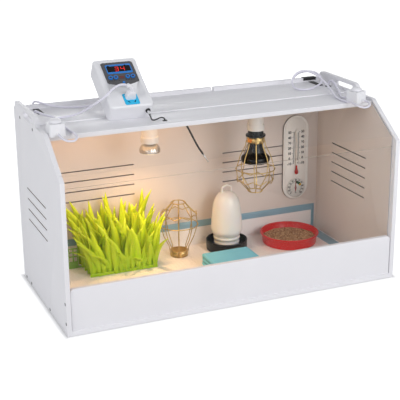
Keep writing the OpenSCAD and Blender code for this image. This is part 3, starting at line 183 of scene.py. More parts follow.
sweep = bmesh.new()
bmesh.ops.create_grid(sweep, x_segments=2, y_segments=2, size=9)
bmesh.ops.translate(sweep, verts=sweep.verts[:], vec=(0, 4, -0.0002))
sweep_mesh = bpy.data.meshes.new("sweep")
sweep.to_mesh(sweep_mesh)
sweep.free()
sweep_paper = bpy.data.materials.new("sweep_paper")
sweep_paper.use_nodes = True
paper_tree = sweep_paper.node_tree
paper_tree.nodes.clear()
matt = paper_tree.nodes.new("ShaderNodeBsdfDiffuse")
matt.inputs["Color"].default_value = (0.8, 0.8, 0.8, 1)
glow = paper_tree.nodes.new("ShaderNodeEmission")
spot_on_paper = paper_tree.nodes.new("ShaderNodeTexCoord")
from_box = paper_tree.nodes.new("ShaderNodeVectorMath")
from_box.operation = "LENGTH"
paper_tree.links.new(spot_on_paper.outputs["Object"], from_box.inputs[0])
far_lift = paper_tree.nodes.new("ShaderNodeMapRange")
far_lift.inputs["From Min"].default_value = 0.55
far_lift.inputs["From Max"].default_value = 1.7
far_lift.inputs["To Min"].default_value = near_lift
far_lift.inputs["To Max"].default_value = paper_lift
paper_tree.links.new(from_box.outputs["Value"], far_lift.inputs["Value"])
axes = paper_tree.nodes.new("ShaderNodeSeparateXYZ")
paper_tree.links.new(spot_on_paper.outputs["Object"], axes.inputs[0])
past_sides = [
    worked(paper_tree, "SUBTRACT", worked(paper_tree, "ABSOLUTE", axes.outputs[axis]), half)
    for axis, half in (("X", box_half_wide), ("Y", box_half_deep))
]
# Painted contact shadow: close round the box's footprint the sweep's lift fades to nothing, so the floor
# shows darker there.
clear_of_foot = worked(paper_tree, "MAXIMUM", *past_sides)
foot_shadow_fade = paper_tree.nodes.new("ShaderNodeMapRange")
foot_shadow_fade.inputs["From Max"].default_value = foot_shadow_line
paper_tree.links.new(clear_of_foot, foot_shadow_fade.inputs["Value"])
off_foot = worked(paper_tree, "MULTIPLY", far_lift.outputs["Result"], foot_shadow_fade.outputs["Result"])
lift = worked(paper_tree, "MULTIPLY", lens_sees(paper_tree), off_foot)
paper_tree.links.new(lift, glow.inputs["Strength"])
both = paper_tree.nodes.new("ShaderNodeAddShader")
paper_tree.links.new(matt.outputs[0], both.inputs[0])
paper_tree.links.new(glow.outputs[0], both.inputs[1])
paper_out = paper_tree.nodes.new("ShaderNodeOutputMaterial")
paper_tree.links.new(both.outputs[0], paper_out.inputs["Surface"])
sweep_mesh.materials.append(sweep_paper)
sweep_floor = bpy.data.objects.new("sweep_floor", sweep_mesh)
scene.collection.objects.link(sweep_floor)
sweep_floor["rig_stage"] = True

# Six flexible leads: five white mains flexes of 5 mm and the black 3 mm lead of the sensor. They lie
# loose on the roof, drop through grommets to the lamps, and two run down the back into tied coils.
flex_thick = 0.005
sensor_thick = 0.003


def card(red, green, blue):
    """A colour as read from a colour card, 0 to 255, made linear."""
    return tuple(
        v / 3294.6 if v < 11 else ((v / 255 + 0.055) / 1.055) ** 2.4
        for v in (red, green, blue)
    ) + (1.0,)


def moulded(
    name, colour, rough=0.45, mottle=0.05, skin=1400.0, relief=0.05, metal=0.0, shine=0.5, glow=None
):
    """A moulded, painted or drawn finish: a faintly uneven colour, a fine skin in its gloss and relief.

    Glow is the colour and the strength of the light that the surface gives off.
    """
    finish = bpy.data.materials.new(name)
    finish.use_nodes = True
    tree = finish.node_tree
    body = tree.nodes["Principled BSDF"]
    body.inputs["Metallic"].default_value = metal
    body.inputs["Specular IOR Level"].default_value = shine
    if glow:
        body.inputs["Emission Color"].default_value, body.inputs["Emission Strength"].default_value = glow
    where = tree.nodes.new("ShaderNodeTexCoord")
    cloud = tree.nodes.new("ShaderNodeTexNoise")
    cloud.inputs["Scale"].default_value = 18
    cloud.inputs["Detail"].default_value = 5
    grain = tree.nodes.new("ShaderNodeTexNoise")
    grain.inputs["Scale"].default_value = skin
    grain.inputs["Detail"].default_value = 2
    tint = tree.nodes.new("ShaderNodeMix")
    tint.data_type = "RGBA"
    tint.inputs["A"].default_value = tuple(c * (1 - mottle) for c in colour[:3]) + (1,)
    tint.inputs["B"].default_value = tuple(min(1, c * (1 + mottle)) for c in colour[:3]) + (1,)
    gloss = tree.nodes.new("ShaderNodeMapRange")
    gloss.inputs["To Min"].default_value = max(0.02, rough - 0.07)
    gloss.inputs["To Max"].default_value = min(1.0, rough + 0.07)
    bump = tree.nodes.new("ShaderNodeBump")
    bump.inputs["Strength"].default_value = relief
    bump.inputs["Distance"].default_value = 0.0005
    link = tree.links.new
    link(where.outputs["Object"], cloud.inputs["Vector"])
    link(where.outputs["Object"], grain.inputs["Vector"])
    link(cloud.outputs["Fac"], tint.inputs["Factor"])
    link(tint.outputs["Result"], body.inputs["Base Color"])
    link(grain.outputs["Fac"], gloss.inputs["Value"])
    link(gloss.outputs["Result"], body.inputs["Roughness"])
    link(grain.outputs["Fac"], bump.inputs["Height"])
    link(bump.outputs["Normal"], body.inputs["Normal"])
    return finish


white_flex = moulded("white_flex", card(228, 226, 238), rough=0.38, mottle=0.03)
black_flex = moulded("black_flex", card(24, 24, 26), rough=0.4, mottle=0.1)


def lead(name, route, thick, finish, *stands_for):
    """A round flex through the points of its route, in the place of its solids."""
    line = bpy.data.curves.new(name, "CURVE")
    line.dimensions = "3D"
    line.bevel_depth = thick / 2
    line.bevel_resolution = 3
    line.resolution_u = 6
    line.use_fill_caps = True
    core = line.splines.new("BEZIER")
    core.bezier_points.add(len(route) - 1)
    for knot, place in zip(core.bezier_points, route):
        knot.co = place
        knot.handle_left_type = knot.handle_right_type = "AUTO"
    line.materials.append(finish)
    piece = bpy.data.objects.new(name, line)
    scene.collection.objects.link(piece)
    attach(piece, "box")
    if stands_for:
        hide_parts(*stands_for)
    return piece


def coil_route(start, hand):
    """Two layers of turns from start: in on the floor, up at the middle, out on top, then a tail."""
    steps, run, last = 24, 54, 120
    outer, pitch = 0.0361, 0.0056
    route = []
    for i in range(last + 1):
        radius = outer - min(i, last - i) / steps * pitch
        climb = min(max((i - run) / (last - 2 * run), 0), 1) * pitch
        angle = i * math.tau / steps
        route.append(
            (
                start[0] + hand * radius * math.sin(angle),
                start[1] + outer - radius * math.cos(angle),
                flex_thick / 2 + climb,
            )
        )
    tail = route[-1]
    return route + [(tail[0] + hand * run_out, tail[1], tail[2]) for run_out in (0.015, 0.03)]


plug_route = [
    (-0.193, -0.01146, 0.48397), (-0.19964, -0.01007, 0.48571), (-0.2075, -0.0075, 0.4849),
    (-0.2155, -0.0046, 0.4814), (-0.223, -0.0015, 0.4756), (-0.2305, 0.001, 0.4682),
    (-0.2385, 0.0021, 0.4611), (-0.2475, 0.005, 0.4535), (-0.257, 0.0115, 0.4455),
    (-0.266, 0.0205, 0.437), (-0.2745, 0.0315, 0.4288), (-0.2835, 0.043, 0.421), (-0.2935, 0.053, 0.415),
    (-0.305, 0.0595, 0.4113), (-0.318, 0.061, 0.4103), (-0.3315, 0.057, 0.4103), (-0.344, 0.0475, 0.4103),
    (-0.354, 0.033, 0.4103), (-0.362, 0.015, 0.4095), (-0.368, -0.005, 0.4085), (-0.3705, -0.022, 0.4096),
    (-0.371, -0.036, 0.411), (-0.371, -0.043, 0.411),
]
thermostat_route = [
    (-0.2, 0.0977, 0.4599), (-0.2, 0.1016, 0.4541), (-0.203, 0.105, 0.447), (-0.209, 0.1095, 0.4355),
    (-0.219, 0.115, 0.425), (-0.231, 0.123, 0.4165), (-0.246, 0.133, 0.4118), (-0.262, 0.142, 0.4104),
    (-0.279, 0.149, 0.4104), (-0.296, 0.1535, 0.4113), (-0.312, 0.157, 0.414), (-0.326, 0.161, 0.4175),
    (-0.337, 0.167, 0.4208), (-0.345, 0.176, 0.423), (-0.35, 0.1875, 0.4215), (-0.352, 0.198, 0.414),
    (-0.3515, 0.204, 0.402), (-0.35, 0.205, 0.385), (-0.349, 0.205, 0.365), (-0.349, 0.205, 0.06),
    (-0.349, 0.205, 0.0275), (-0.347, 0.205, 0.0175), (-0.3415, 0.205, 0.01), (-0.333, 0.205, 0.0046),
    (-0.324, 0.205, 0.0029), (-0.312, 0.205, 0.0025), (-0.295, 0.205, 0.0025),
]
left_lamp_route = [
    (-0.371, -0.091, 0.411), (-0.371, -0.098, 0.411), (-0.3705, -0.1045, 0.4095),
    (-0.3675, -0.111, 0.4065), (-0.3615, -0.1165, 0.4038), (-0.3535, -0.1185, 0.4025),
    (-0.3455, -0.1165, 0.4026), (-0.3395, -0.1105, 0.4042), (-0.3365, -0.1015, 0.4066),
    (-0.336, -0.091, 0.4088), (-0.336, -0.078, 0.4093), (-0.3365, -0.062, 0.4084),
    (-0.337, -0.045, 0.4082), (-0.3375, -0.028, 0.4082), (-0.338, -0.011, 0.4084),
    (-0.3385, 0.005, 0.4096), (-0.34, 0.02, 0.4126), (-0.344, 0.034, 0.4165), (-0.351, 0.046, 0.4186),
    (-0.36, 0.057, 0.42), (-0.3685, 0.067, 0.4226), (-0.374, 0.077, 0.4246), (-0.375, 0.086, 0.4236),
    (-0.375, 0.0925, 0.4186), (-0.375, 0.0955, 0.4115), (-0.375, 0.096, 0.404), (-0.375, 0.096, 0.388),
    (-0.374, 0.096, 0.378), (-0.369, 0.095, 0.369), (-0.359, 0.093, 0.363), (-0.345, 0.09, 0.362),
    (-0.325, 0.086, 0.368), (-0.3, 0.081, 0.378), (-0.27, 0.075, 0.386), (-0.24, 0.068, 0.39),
    (-0.21, 0.062, 0.391), (-0.185, 0.058, 0.3895), (-0.168, 0.056, 0.3865), (-0.153, 0.055, 0.384),
    (-0.146, 0.055, 0.384),
]
right_route = [
    (0.361, -0.0893, 0.411), (0.3636, -0.0957, 0.411), (0.3645, -0.1052, 0.4093),
    (0.3607, -0.1134, 0.4066), (0.3533, -0.1186, 0.4045), (0.3443, -0.1194, 0.4038),
    (0.3361, -0.1156, 0.4046), (0.3309, -0.1082, 0.4068), (0.3295, -0.0985, 0.4089),
    (0.3285, -0.086, 0.4099), (0.3272, -0.072, 0.409), (0.3265, -0.056, 0.408), (0.327, -0.038, 0.408),
    (0.329, -0.02, 0.4084), (0.3325, -0.003, 0.41), (0.337, 0.014, 0.4125), (0.341, 0.031, 0.4158),
    (0.3445, 0.048, 0.4198), (0.3468, 0.065, 0.4243), (0.3473, 0.082, 0.4296), (0.3455, 0.098, 0.435),
    (0.341, 0.1125, 0.44), (0.334, 0.125, 0.4438), (0.325, 0.1345, 0.445), (0.3145, 0.14, 0.443),
    (0.304, 0.141, 0.4375), (0.295, 0.1375, 0.4303), (0.2885, 0.13, 0.423), (0.2845, 0.1195, 0.4168),
    (0.2833, 0.1075, 0.4126), (0.2855, 0.096, 0.4107), (0.292, 0.0875, 0.4103), (0.302, 0.0835, 0.4104),
    (0.3145, 0.085, 0.4108), (0.326, 0.0905, 0.4114), (0.3375, 0.0975, 0.4122), (0.3485, 0.1045, 0.4132),
    (0.358, 0.1115, 0.415), (0.3655, 0.1195, 0.4185), (0.37, 0.129, 0.4235), (0.3705, 0.1395, 0.429),
    (0.367, 0.15, 0.4335), (0.36, 0.16, 0.436), (0.351, 0.17, 0.4355), (0.342, 0.1805, 0.432),
    (0.335, 0.191, 0.4255), (0.331, 0.2, 0.416), (0.33, 0.2045, 0.404), (0.33, 0.205, 0.385),
    (0.33, 0.205, 0.06), (0.33, 0.205, 0.0275), (0.328, 0.205, 0.0175), (0.3225, 0.205, 0.01),
    (0.314, 0.205, 0.0046), (0.305, 0.205, 0.0029), (0.293, 0.205, 0.0025), (0.275, 0.205, 0.0025),
]
right_lamp_route = [
    (0.343, -0.0447, 0.411), (0.3404, -0.0383, 0.411), (0.341, -0.027, 0.409),
    (0.346, -0.01, 0.4082), (0.354, 0.008, 0.4084), (0.362, 0.026, 0.4105), (0.369, 0.045, 0.413),
    (0.373, 0.063, 0.419), (0.375, 0.079, 0.4245), (0.375, 0.091, 0.424), (0.375, 0.099, 0.4185),
    (0.375, 0.1025, 0.411), (0.375, 0.103, 0.404), (0.375, 0.103, 0.388), (0.374, 0.103, 0.378),
    (0.369, 0.102, 0.369), (0.359, 0.1, 0.363), (0.345, 0.097, 0.362), (0.325, 0.092, 0.368),
    (0.3, 0.085, 0.378), (0.27, 0.077, 0.386), (0.24, 0.069, 0.39), (0.218, 0.061, 0.3895),
    (0.201, 0.057, 0.3865), (0.185, 0.055, 0.384), (0.178, 0.055, 0.384),
]
sensor_route = [
    (-0.146, -0.0225, 0.4162), (-0.146, -0.0266, 0.4134), (-0.145, -0.031, 0.4076),
    (-0.143, -0.038, 0.407), (-0.137, -0.043, 0.4095), (-0.13, -0.045, 0.4125),
    (-0.123, -0.045, 0.4115), (-0.1194, -0.045, 0.4075), (-0.119, -0.045, 0.403),
    (-0.119, -0.045, 0.394), (-0.118, -0.044, 0.39), (-0.113, -0.041, 0.388),
    (-0.104, -0.035, 0.389), (-0.092, -0.024, 0.391), (-0.078, -0.008, 0.3915),
    (-0.064, 0.01, 0.391), (-0.053, 0.023, 0.387), (-0.043, 0.031, 0.378), (-0.032, 0.036, 0.361),
    (-0.02, 0.039, 0.339), (-0.009, 0.04, 0.318), (-0.0024, 0.04, 0.3067), (0.002, 0.04, 0.3),
]
thermostat_route += coil_route((-0.29, 0.205), 1)
right_route += coil_route((0.27, 0.205), -1)

plug_flex = lead("plug_flex", plug_route, flex_thick, white_flex, "plug_lead")
thermostat_flex = lead(
    "thermostat_flex", thermostat_route, flex_thick, white_flex, "thermostat_lead", "thermostat_coil"
)
left_lamp_flex = lead("left_lamp_flex", left_lamp_route, flex_thick, white_flex, "left_lamp_lead")
right_flex = lead("right_flex", right_route, flex_thick, white_flex, "right_lead", "right_coil")
right_lamp_flex = lead("right_lamp_flex", right_lamp_route, flex_thick, white_flex, "right_lamp_lead")
sensor_flex = lead("sensor_flex", sensor_route, sensor_thick, black_flex, "sensor_cable")

# Plugs, ties and the probe: two moulded white mains plugs with ribbed reliefs and bare pins, flat black
# straps under the flexes, and a thin steel probe, crimped into a black sleeve on the sensor's lead.


def skinned(shape, name, finishes, body, stands_for=(), crease=40):
    """A finished piece from a bmesh, smooth up to its creases, riding on its body."""
    mesh = bpy.data.meshes.new(name)
    shape.to_mesh(mesh)
    shape.free()
    mesh.shade_smooth()
    mesh.set_sharp_from_angle(angle=math.radians(crease))
    for finish in finishes:
        mesh.materials.append(finish)
    piece = bpy.data.objects.new(name, mesh)
    scene.collection.objects.link(piece)
    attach(piece, body)
    if stands_for:
        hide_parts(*stands_for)
    return piece


def solid_of(node):
    """The node's own solid, merged and free of flat cuts."""
    shape = bmesh.new()
    shape.from_mesh(nodes[node].data)
    bmesh.ops.remove_doubles(shape, verts=shape.verts[:], dist=2e-6)
    bmesh.ops.dissolve_limit(
        shape, angle_limit=math.radians(1), verts=shape.verts[:], edges=shape.edges[:]
    )
    shape.normal_update()
    return shape


def ease_edges(shape, radius, segments=2, sharp=40, leave=None):
    """Rounds every edge that is sharper than so many degrees, apart from those to leave."""
    edges = [
        e
        for e in shape.edges
        if len(e.link_faces) == 2
        and e.calc_face_angle(0) > math.radians(sharp)
        and not (leave and leave((e.verts[0].co + e.verts[1].co) / 2))
    ]
    bmesh.ops.bevel(
        shape, geom=edges, offset=radius, segments=segments, profile=0.5,
        affect="EDGES", material=-1, clamp_overlap=True,
    )
    shape.normal_update()


def eased(node, finish, radius, segments=2, crease=40):
    """The node with its edges rounded, in its finish."""
    shape = solid_of(node)
    if radius:
        ease_edges(shape, radius, segments)
    return skinned(shape, node + "_made", [finish], nodes[node]["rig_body"], [node], crease)


def turned(outline, steps=48, place=Matrix.Identity(4)):
    """A round shape spun from (radius, height) points about the upright axis, put in its place."""
    shape = bmesh.new()
    row = [shape.verts.new((r, 0, h)) for r, h in outline]
    run = [shape.edges.new(pair) for pair in zip(row, row[1:])]
    bmesh.ops.spin(
        shape, geom=row + run, cent=(0, 0, 0), axis=(0, 0, 1), angle=math.tau, steps=steps,
        use_merge=True,
    )
    bmesh.ops.remove_doubles(shape, verts=shape.verts[:], dist=1e-6)
    bmesh.ops.dissolve_degenerate(shape, dist=1e-7, edges=shape.edges[:])
    bmesh.ops.recalc_face_normals(shape, faces=shape.faces[:])
    bmesh.ops.transform(shape, matrix=place, verts=shape.verts[:])
    return shape


def rib(shape, centre, way, radius, width):
    """A ring round a sleeve at centre, square to its way."""
    square = Vector(way).to_track_quat("Z", "Y").to_matrix().to_4x4()
    bmesh.ops.create_cone(
        shape, cap_ends=True, segments=20, radius1=radius, radius2=radius, depth=width,
        matrix=Matrix.Translation(centre) @ square,
    )


white_plug = moulded("white_plug", card(236, 235, 240), rough=0.35, mottle=0.03)
bare_steel = moulded("bare_steel", card(196, 196, 200), rough=0.28, mottle=0.08, metal=1.0)
black_strap = moulded("black_strap", card(26, 26, 28), rough=0.7, skin=900, relief=0.3)
black_rubber = moulded("black_rubber", card(28, 28, 30), rough=0.7)

pins_at, lying_y, lying_z = 0.0565, 0.205, 0.0081
for side, tail, name in ((-1, 0.26, "left_mains_plug"), (1, 0.24, "right_mains_plug")):
    shape = solid_of("mains_plugs")
    far = [v for v in shape.verts if v.co.x * side < 0]
    bmesh.ops.delete(shape, geom=far, context="VERTS")
    for step in range(4):
        along = 0.003 + 0.0045 * step
        rib(
            shape, (side * (tail - along), lying_y, lying_z), (1, 0, 0), 0.0047 + 0.125 * along, 0.0022
        )
    ease_edges(shape, 0.0008)
    for face in shape.faces:
        if abs(face.calc_center_median().x) < tail - pins_at:
            face.material_index = 1
    skinned(shape, name, [white_plug, bare_steel], "box", ["mains_plugs"])
eased("cord_ties", black_strap, 0.0004)

probe_lean, steel_from = math.radians(33.2), 0.0093
probe_way = Vector((math.sin(probe_lean), 0, -math.cos(probe_lean)))
probe_top = Vector(sensor_route[-1])
probe_shape = turned(
    [
        (0, 0), (0.0021, 0), (0.0024, 0.0006), (0.0024, 0.0075), (0.0021, 0.009), (0.0017, 0.0096),
        (0.0017, 0.012), (0.0015, 0.0124), (0.0015, 0.0132), (0.0017, 0.0136), (0.0017, 0.0335),
        (0.0011, 0.0347), (0, 0.035),
    ],
    20, Matrix.Translation(probe_top) @ probe_way.to_track_quat("Z", "Y").to_matrix().to_4x4(),
)
for face in probe_shape.faces:
    face.material_index = int((face.calc_center_median() - probe_top).dot(probe_way) > steel_from)
sleeve = lead("probe_sleeve", sensor_route[-6:], 0.0046, black_flex)
probe = skinned(probe_shape, "sensor_tip", [black_rubber, bare_steel], "box", ["sensor_probe"])

# The box is seven boards of white foamed plastic, 10 mm thick, sawn with narrow slots for air and with
# hand holds, eased at the edges and screwed together with black screws. The cut faces in the slots are
# painted darker, a painted shade in the slots, and the inner faces under the roof and behind the panes
# are painted a matt, warmer white, a painted warm light from the lamp inside.
white_board = moulded(
    "white_board", card(238, 237, 241), rough=0.46, mottle=0.02, skin=700, relief=0.04, shine=0.26
)
# Painted shade: the cut faces inside the slots take this darker colour.
slot_shade = moulded("slot_shade", card(158, 148, 142), rough=0.9)
# Painted warm light: a warmer white for the boards' inner faces, standing in for the lamp's glow inside
# the box.
painted_lamp_warmth = moulded(
    "painted_lamp_warmth", card(230, 218, 210), rough=0.5, mottle=0.03, skin=700, relief=0.04
)
black_screw = moulded("black_screw", card(10, 10, 11), rough=0.45, shine=0.2)


def in_side_slot(place):
    """Whether a point lies among the slots of a side panel."""
    middle_y, reach, low_z, high_z = 0.02, 0.085, 0.155, 0.268
    return abs(place.y - middle_y) < reach and low_z < place.z < high_z


def in_back_slot(place):
    """Whether a point lies among the slots of the back panel."""
    near_x, far_x, low_z, high_z = 0.115, 0.303, 0.165, 0.252
    return near_x < abs(place.x) < far_x and low_z < place.z < high_z


pane_planes = []
for node in ("lower_window", "upper_window"):
    shape = solid_of(node)
    broad = max((f for f in shape.faces if f.normal.y < 0), key=lambda f: f.calc_area())
    pane_planes.append((broad.calc_center_median(), broad.normal.copy()))
    shape.free()
painted_warmth_top = 0.402
for node, slots, thickness, inside in (
    ("floor_panel", None, 2, (0, 0, 0)), ("left_side_panel", in_side_slot, 0, (1, 0, 0)),
    ("right_side_panel", in_side_slot, 0, (-1, 0, 0)), ("back_panel", in_back_slot, 1, (0, -1, 0)),
    ("roof_front_board", None, 2, (0, 0, -1)), ("roof_rear_board", None, 2, (0, 0, -1)),
    ("front_board", None, 1, (0, 1, 0)),
):
    shape = solid_of(node)
    ease_edges(shape, 0.0011, 3, leave=slots)
    cuts = [((0, 0, painted_warmth_top), (0, 0, 1))] if slots else []
    for spot, facing in cuts + (pane_planes if slots is in_side_slot else []):
        whole = shape.verts[:] + shape.edges[:] + shape.faces[:]
        bmesh.ops.bisect_plane(shape, geom=whole, plane_co=spot, plane_no=facing)
    # Painted warm light: inner faces under the roof take the warmer white; on the sides only those behind
    # the panes.
    for face in shape.faces:
        middle = face.calc_center_median()
        if slots and abs(face.normal[thickness]) < 0.3 and slots(middle):
            face.material_index = 1
        elif face.normal.dot(inside) > 0.99 and middle.z < painted_warmth_top:
            behind = all(facing.dot(middle - spot) < 0 for spot, facing in pane_planes)
            face.material_index = 2 if behind or slots is not in_side_slot else 0
    skinned(shape, node + "_made", [white_board, slot_shade, painted_lamp_warmth], "box", [node])
eased("panel_screws", black_screw, 0.0003)

# Two clear acrylic panes, 3 mm thick with polished edges: the lower one slides up out of its gap behind
# the front board, the upper one lies on the slope under the roof's front edge.
clear_acrylic = bpy.data.materials.new("clear_acrylic")
clear_acrylic.use_nodes = True
pane_tree = clear_acrylic.node_tree
pane = pane_tree.nodes["Principled BSDF"]
pane.inputs["Base Color"].default_value = (0.5, 0.52, 0.53, 1)
pane.inputs["Roughness"].default_value = 0.04
tilt = pane_tree.nodes.new("ShaderNodeLayerWeight")
tilt.inputs["Blend"].default_value = 0.25
veil = pane_tree.nodes.new("ShaderNodeMapRange")
veil.inputs["To Min"].default_value = 0.004
veil.inputs["To Max"].default_value = 0.12
pane_tree.links.new(tilt.outputs["Facing"], veil.inputs["Value"])
pane_tree.links.new(veil.outputs["Result"], pane.inputs["Alpha"])
# Painted highlight: the lower pane's edge faces are a pale, nearly opaque colour for the light caught in
# its polished edge.
pane_edge_highlight = moulded("pane_edge_highlight", card(206, 196, 186), rough=0.15, mottle=0.06)
pane_edge_highlight.node_tree.nodes["Principled BSDF"].inputs["Alpha"].default_value = 0.9
for node in ("lower_window", "upper_window"):
    shape = solid_of(node)
    broad = max(shape.faces, key=lambda f: f.calc_area()).normal.copy()
    ease_edges(shape, 0.0004)
    for face in shape.faces:
        face.material_index = int(node == "lower_window" and abs(face.normal.dot(broad)) < 0.5)
    skinned(shape, node + "_made", [clear_acrylic, pane_edge_highlight], nodes[node]["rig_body"], [node])

# Thermostat, a moulded white case in two halves that leans back on its folded stand on the roof. Its
# front rim is rounded, and its own frame has x to the right, y into the case and z up along its face.
stat = Matrix.Translation((-0.184, 0.002, 0.405)) @ Matrix.Rotation(math.radians(-56), 4, "X")
white_case = moulded("white_case", card(236, 236, 240), rough=0.4, mottle=0.02)
green_board = moulded("green_board", card(40, 110, 60), rough=0.5)
case_front, case_middle, rim_half_wide, rim_half_tall = -0.04, 0.075, 0.0419, 0.0705
case_shape = solid_of("thermostat_front_shell")
bmesh.ops.transform(case_shape, matrix=stat.inverted(), verts=case_shape.verts[:])
case_rim = [
    e
    for e in case_shape.edges
    if all(
        abs(v.co.y - case_front) < 1e-4
        and (abs(v.co.x) > rim_half_wide or abs(v.co.z - case_middle) > rim_half_tall)
        for v in e.verts
    )
]
bmesh.ops.bevel(
    case_shape, geom=case_rim, offset=0.005, segments=5, profile=0.5,
    affect="EDGES", material=-1, clamp_overlap=True,
)
bmesh.ops.transform(case_shape, matrix=stat, verts=case_shape.verts[:])
skinned(case_shape, "thermostat_case", [white_case], "box", ["thermostat_front_shell"])
eased("thermostat_back_shell", white_case, 0.0015, 3)
eased("thermostat_stand", white_case, 0.0005)
eased("circuit_board", green_board, 0)

# Its face: a dark grey panel with a blue display frame, a smoked window with red figures, four blue keys
# with dark middles, a dark red receiver window, a small blue lamp and plain printed marks.
grey_panel = moulded("grey_panel", card(70, 70, 74), rough=0.5, mottle=0.06, relief=0.12)
blue_frame = moulded("blue_frame", card(24, 120, 205), rough=0.35)
smoked_glass = moulded("smoked_glass", card(12, 4, 5), rough=0.16, mottle=0.1, shine=0.12)
dark_middle = moulded("dark_middle", card(10, 22, 70), rough=0.3)
deep_red = moulded("deep_red", card(92, 16, 16), rough=0.2)
print_black = moulded("print_black", card(20, 20, 22), rough=0.6)
lit_red = moulded("lit_red", card(225, 22, 20), rough=0.5, glow=((1.0, 0.02, 0.015, 1), 0.55))
glass_y, figures_y, lamp_y, marks_y = -0.0407, -0.0412, -0.0404, -0.0403


def plate(shape, width, height, thick, corner, place, turn=0.0):
    """Adds a flat plate with round corners that faces the front. Place is its middle."""
    block = bmesh.ops.create_cube(shape, size=1)["verts"]
    bmesh.ops.scale(shape, vec=(width, thick, height), verts=block)
    if corner:
        ends = [e for v in block for e in v.link_edges]
        posts = [e for e in dict.fromkeys(ends) if abs(e.verts[0].co.y - e.verts[1].co.y) > thick / 2]
        block = bmesh.ops.bevel(
            shape, geom=posts, offset=corner, segments=4, profile=0.5, affect="EDGES", material=-1
        )["verts"]
    bmesh.ops.transform(
        shape, matrix=Matrix.Translation(place) @ Matrix.Rotation(turn, 4, "Y"), verts=block
    )
    return block


def on_face(shape, name, finishes):
    """A finished piece on the thermostat's face, from its own frame."""
    bmesh.ops.transform(shape, matrix=stat, verts=shape.verts[:])
    return skinned(shape, name, finishes, "box")


eased("face_panel", grey_panel, 0.0003)
eased("display_window", blue_frame, 0.0004)
window = bmesh.new()
plate(window, 0.0548, 0.0172, 0.0008, 0.0012, (0.0028, glass_y, 0.1162))
for x in (-0.0202, 0.0192):
    plate(window, 0.0042, 0.0042, 0.0008, 0, (x, glass_y, 0.1249), math.radians(45))
on_face(window, "display_glass", [smoked_glass])

figures = bmesh.new()
bar, tall, wide, figures_z, slant = 0.0012, 0.012, 0.0078, 0.1154, 0.1
bars = {
    "top": (0, 0.5, 0), "upper_right": (0.5, 0.25, 1), "lower_right": (0.5, -0.25, 1),
    "foot": (0, -0.5, 0), "upper_left": (-0.5, 0.25, 1), "middle": (0, 0, 0),
}
for x, lit in (
    (-0.0028, ("top", "upper_right", "lower_right", "foot", "middle")),
    (0.0113, ("upper_left", "upper_right", "lower_right", "middle")),
):
    for name in lit:
        over, up, stands = bars[name]
        size = (bar, tall / 2 + bar * 0.2) if stands else (wide + bar * 0.2, bar)
        plate(figures, *size, 0.0003, 0.0005, (x + over * wide, figures_y, figures_z + up * tall))
for vertex in figures.verts:
    vertex.co.x += slant * (vertex.co.z - figures_z)
on_face(figures, "display_figures", [lit_red])

receiver = bmesh.new()
plate(receiver, 0.0102, 0.0074, 0.0008, 0.0005, (0.0022, lamp_y, 0.0896))
on_face(receiver, "receiver_window", [deep_red])
small_lamp = bmesh.new()
plate(small_lamp, 0.0052, 0.0052, 0.0012, 0.0008, (0.0022, lamp_y, 0.0737), math.radians(45))
on_face(small_lamp, "small_blue_lamp", [blue_frame])
marks = bmesh.new()
for x in (-0.029, -0.0235, -0.018, -0.0065, 0.0105, 0.0165, 0.0225, 0.0285):
    plate(marks, 0.0028, 0.0017, 0.0004, 0, (x, marks_y, 0.0806))
for x in (-0.0235, -0.0125, 0.0165, 0.0275):
    plate(marks, 0.0024, 0.0017, 0.0004, 0, (x, marks_y, 0.0978))
on_face(marks, "printed_marks", [print_black])

outward = stat.to_3x3() @ Vector((0, -1, 0))
for number in range(1, 5):
    key = solid_of(f"button_{number}")
    cap = max(
        (f for f in key.faces if f.normal.dot(outward) > 0.99),
        key=lambda f: f.calc_center_median().dot(outward),
    )
    bmesh.ops.inset_region(key, faces=[cap], thickness=0.0022, depth=-0.0005)
    cap.material_index = 1
    ease_edges(key, 0.0004)
    skinned(
        key, f"key_cap_{number}", [blue_frame, dark_middle], f"key_{number}", [f"button_{number}"]
    )

# Under the face, a light blue socket with a moulded white plug in it, whose ribbed boot turns the lead
# to the left, and at the lower edge the round steel plug of the sensor behind a black collar.
cyan_socket = moulded("cyan_socket", card(32, 186, 234), rough=0.35)
socket_floor, boot_root, boot_reach, collar_from = -0.0396, -0.059, 0.0055, -0.0045
socket_shape = solid_of("socket_insert")
ease_edges(socket_shape, 0.0004)
for face in socket_shape.faces:
    face.material_index = int((stat.inverted() @ face.calc_center_median()).y > socket_floor)
skinned(socket_shape, "socket_face", [cyan_socket, dark_middle], "box", ["socket_insert"])
plug_foot, plug_long = Vector((0.003, -0.0405, 0.028)), 0.0185
plug_shape = solid_of("power_plug")
bmesh.ops.transform(plug_shape, matrix=stat.inverted(), verts=plug_shape.verts[:])
for vertex in plug_shape.verts:
    off = vertex.co - plug_foot
    if -0.0195 < off.y < -0.002 and max(abs(off.x), abs(off.z)) > boot_reach:
        taper = 1 + 0.24 * off.y / plug_long
        vertex.co.x = plug_foot.x + off.x * taper
        vertex.co.z = plug_foot.z + off.z * taper
for over, out, up, way in (
    (0, -0.0025, 0, (0, -1, 0)), (-0.0003, -0.006, 0.0003, (-0.15, -1, 0.1)),
    (-0.0018, -0.0098, 0.0011, (-2.4, -3.5, 1.3)), (-0.005, -0.0125, 0.0026, (-4, -2, 1.6)),
    (-0.0093, -0.0138, 0.0042, (-5, -0.6, 1.6)),
):
    rib(plug_shape, (plug_foot.x + over, boot_root + out, plug_foot.z + up), way, 0.0048, 0.0016)
ease_edges(plug_shape, 0.0006)
bmesh.ops.transform(plug_shape, matrix=stat, verts=plug_shape.verts[:])
skinned(plug_shape, "plug_in_socket", [white_plug], "box", ["power_plug"])
jack_shape = solid_of("sensor_plug")
ease_edges(jack_shape, 0.0004)
for face in jack_shape.faces:
    face.material_index = int((stat.inverted() @ face.calc_center_median()).z > collar_from)
skinned(jack_shape, "sensor_jack", [bare_steel, black_rubber], "box", ["sensor_plug"])

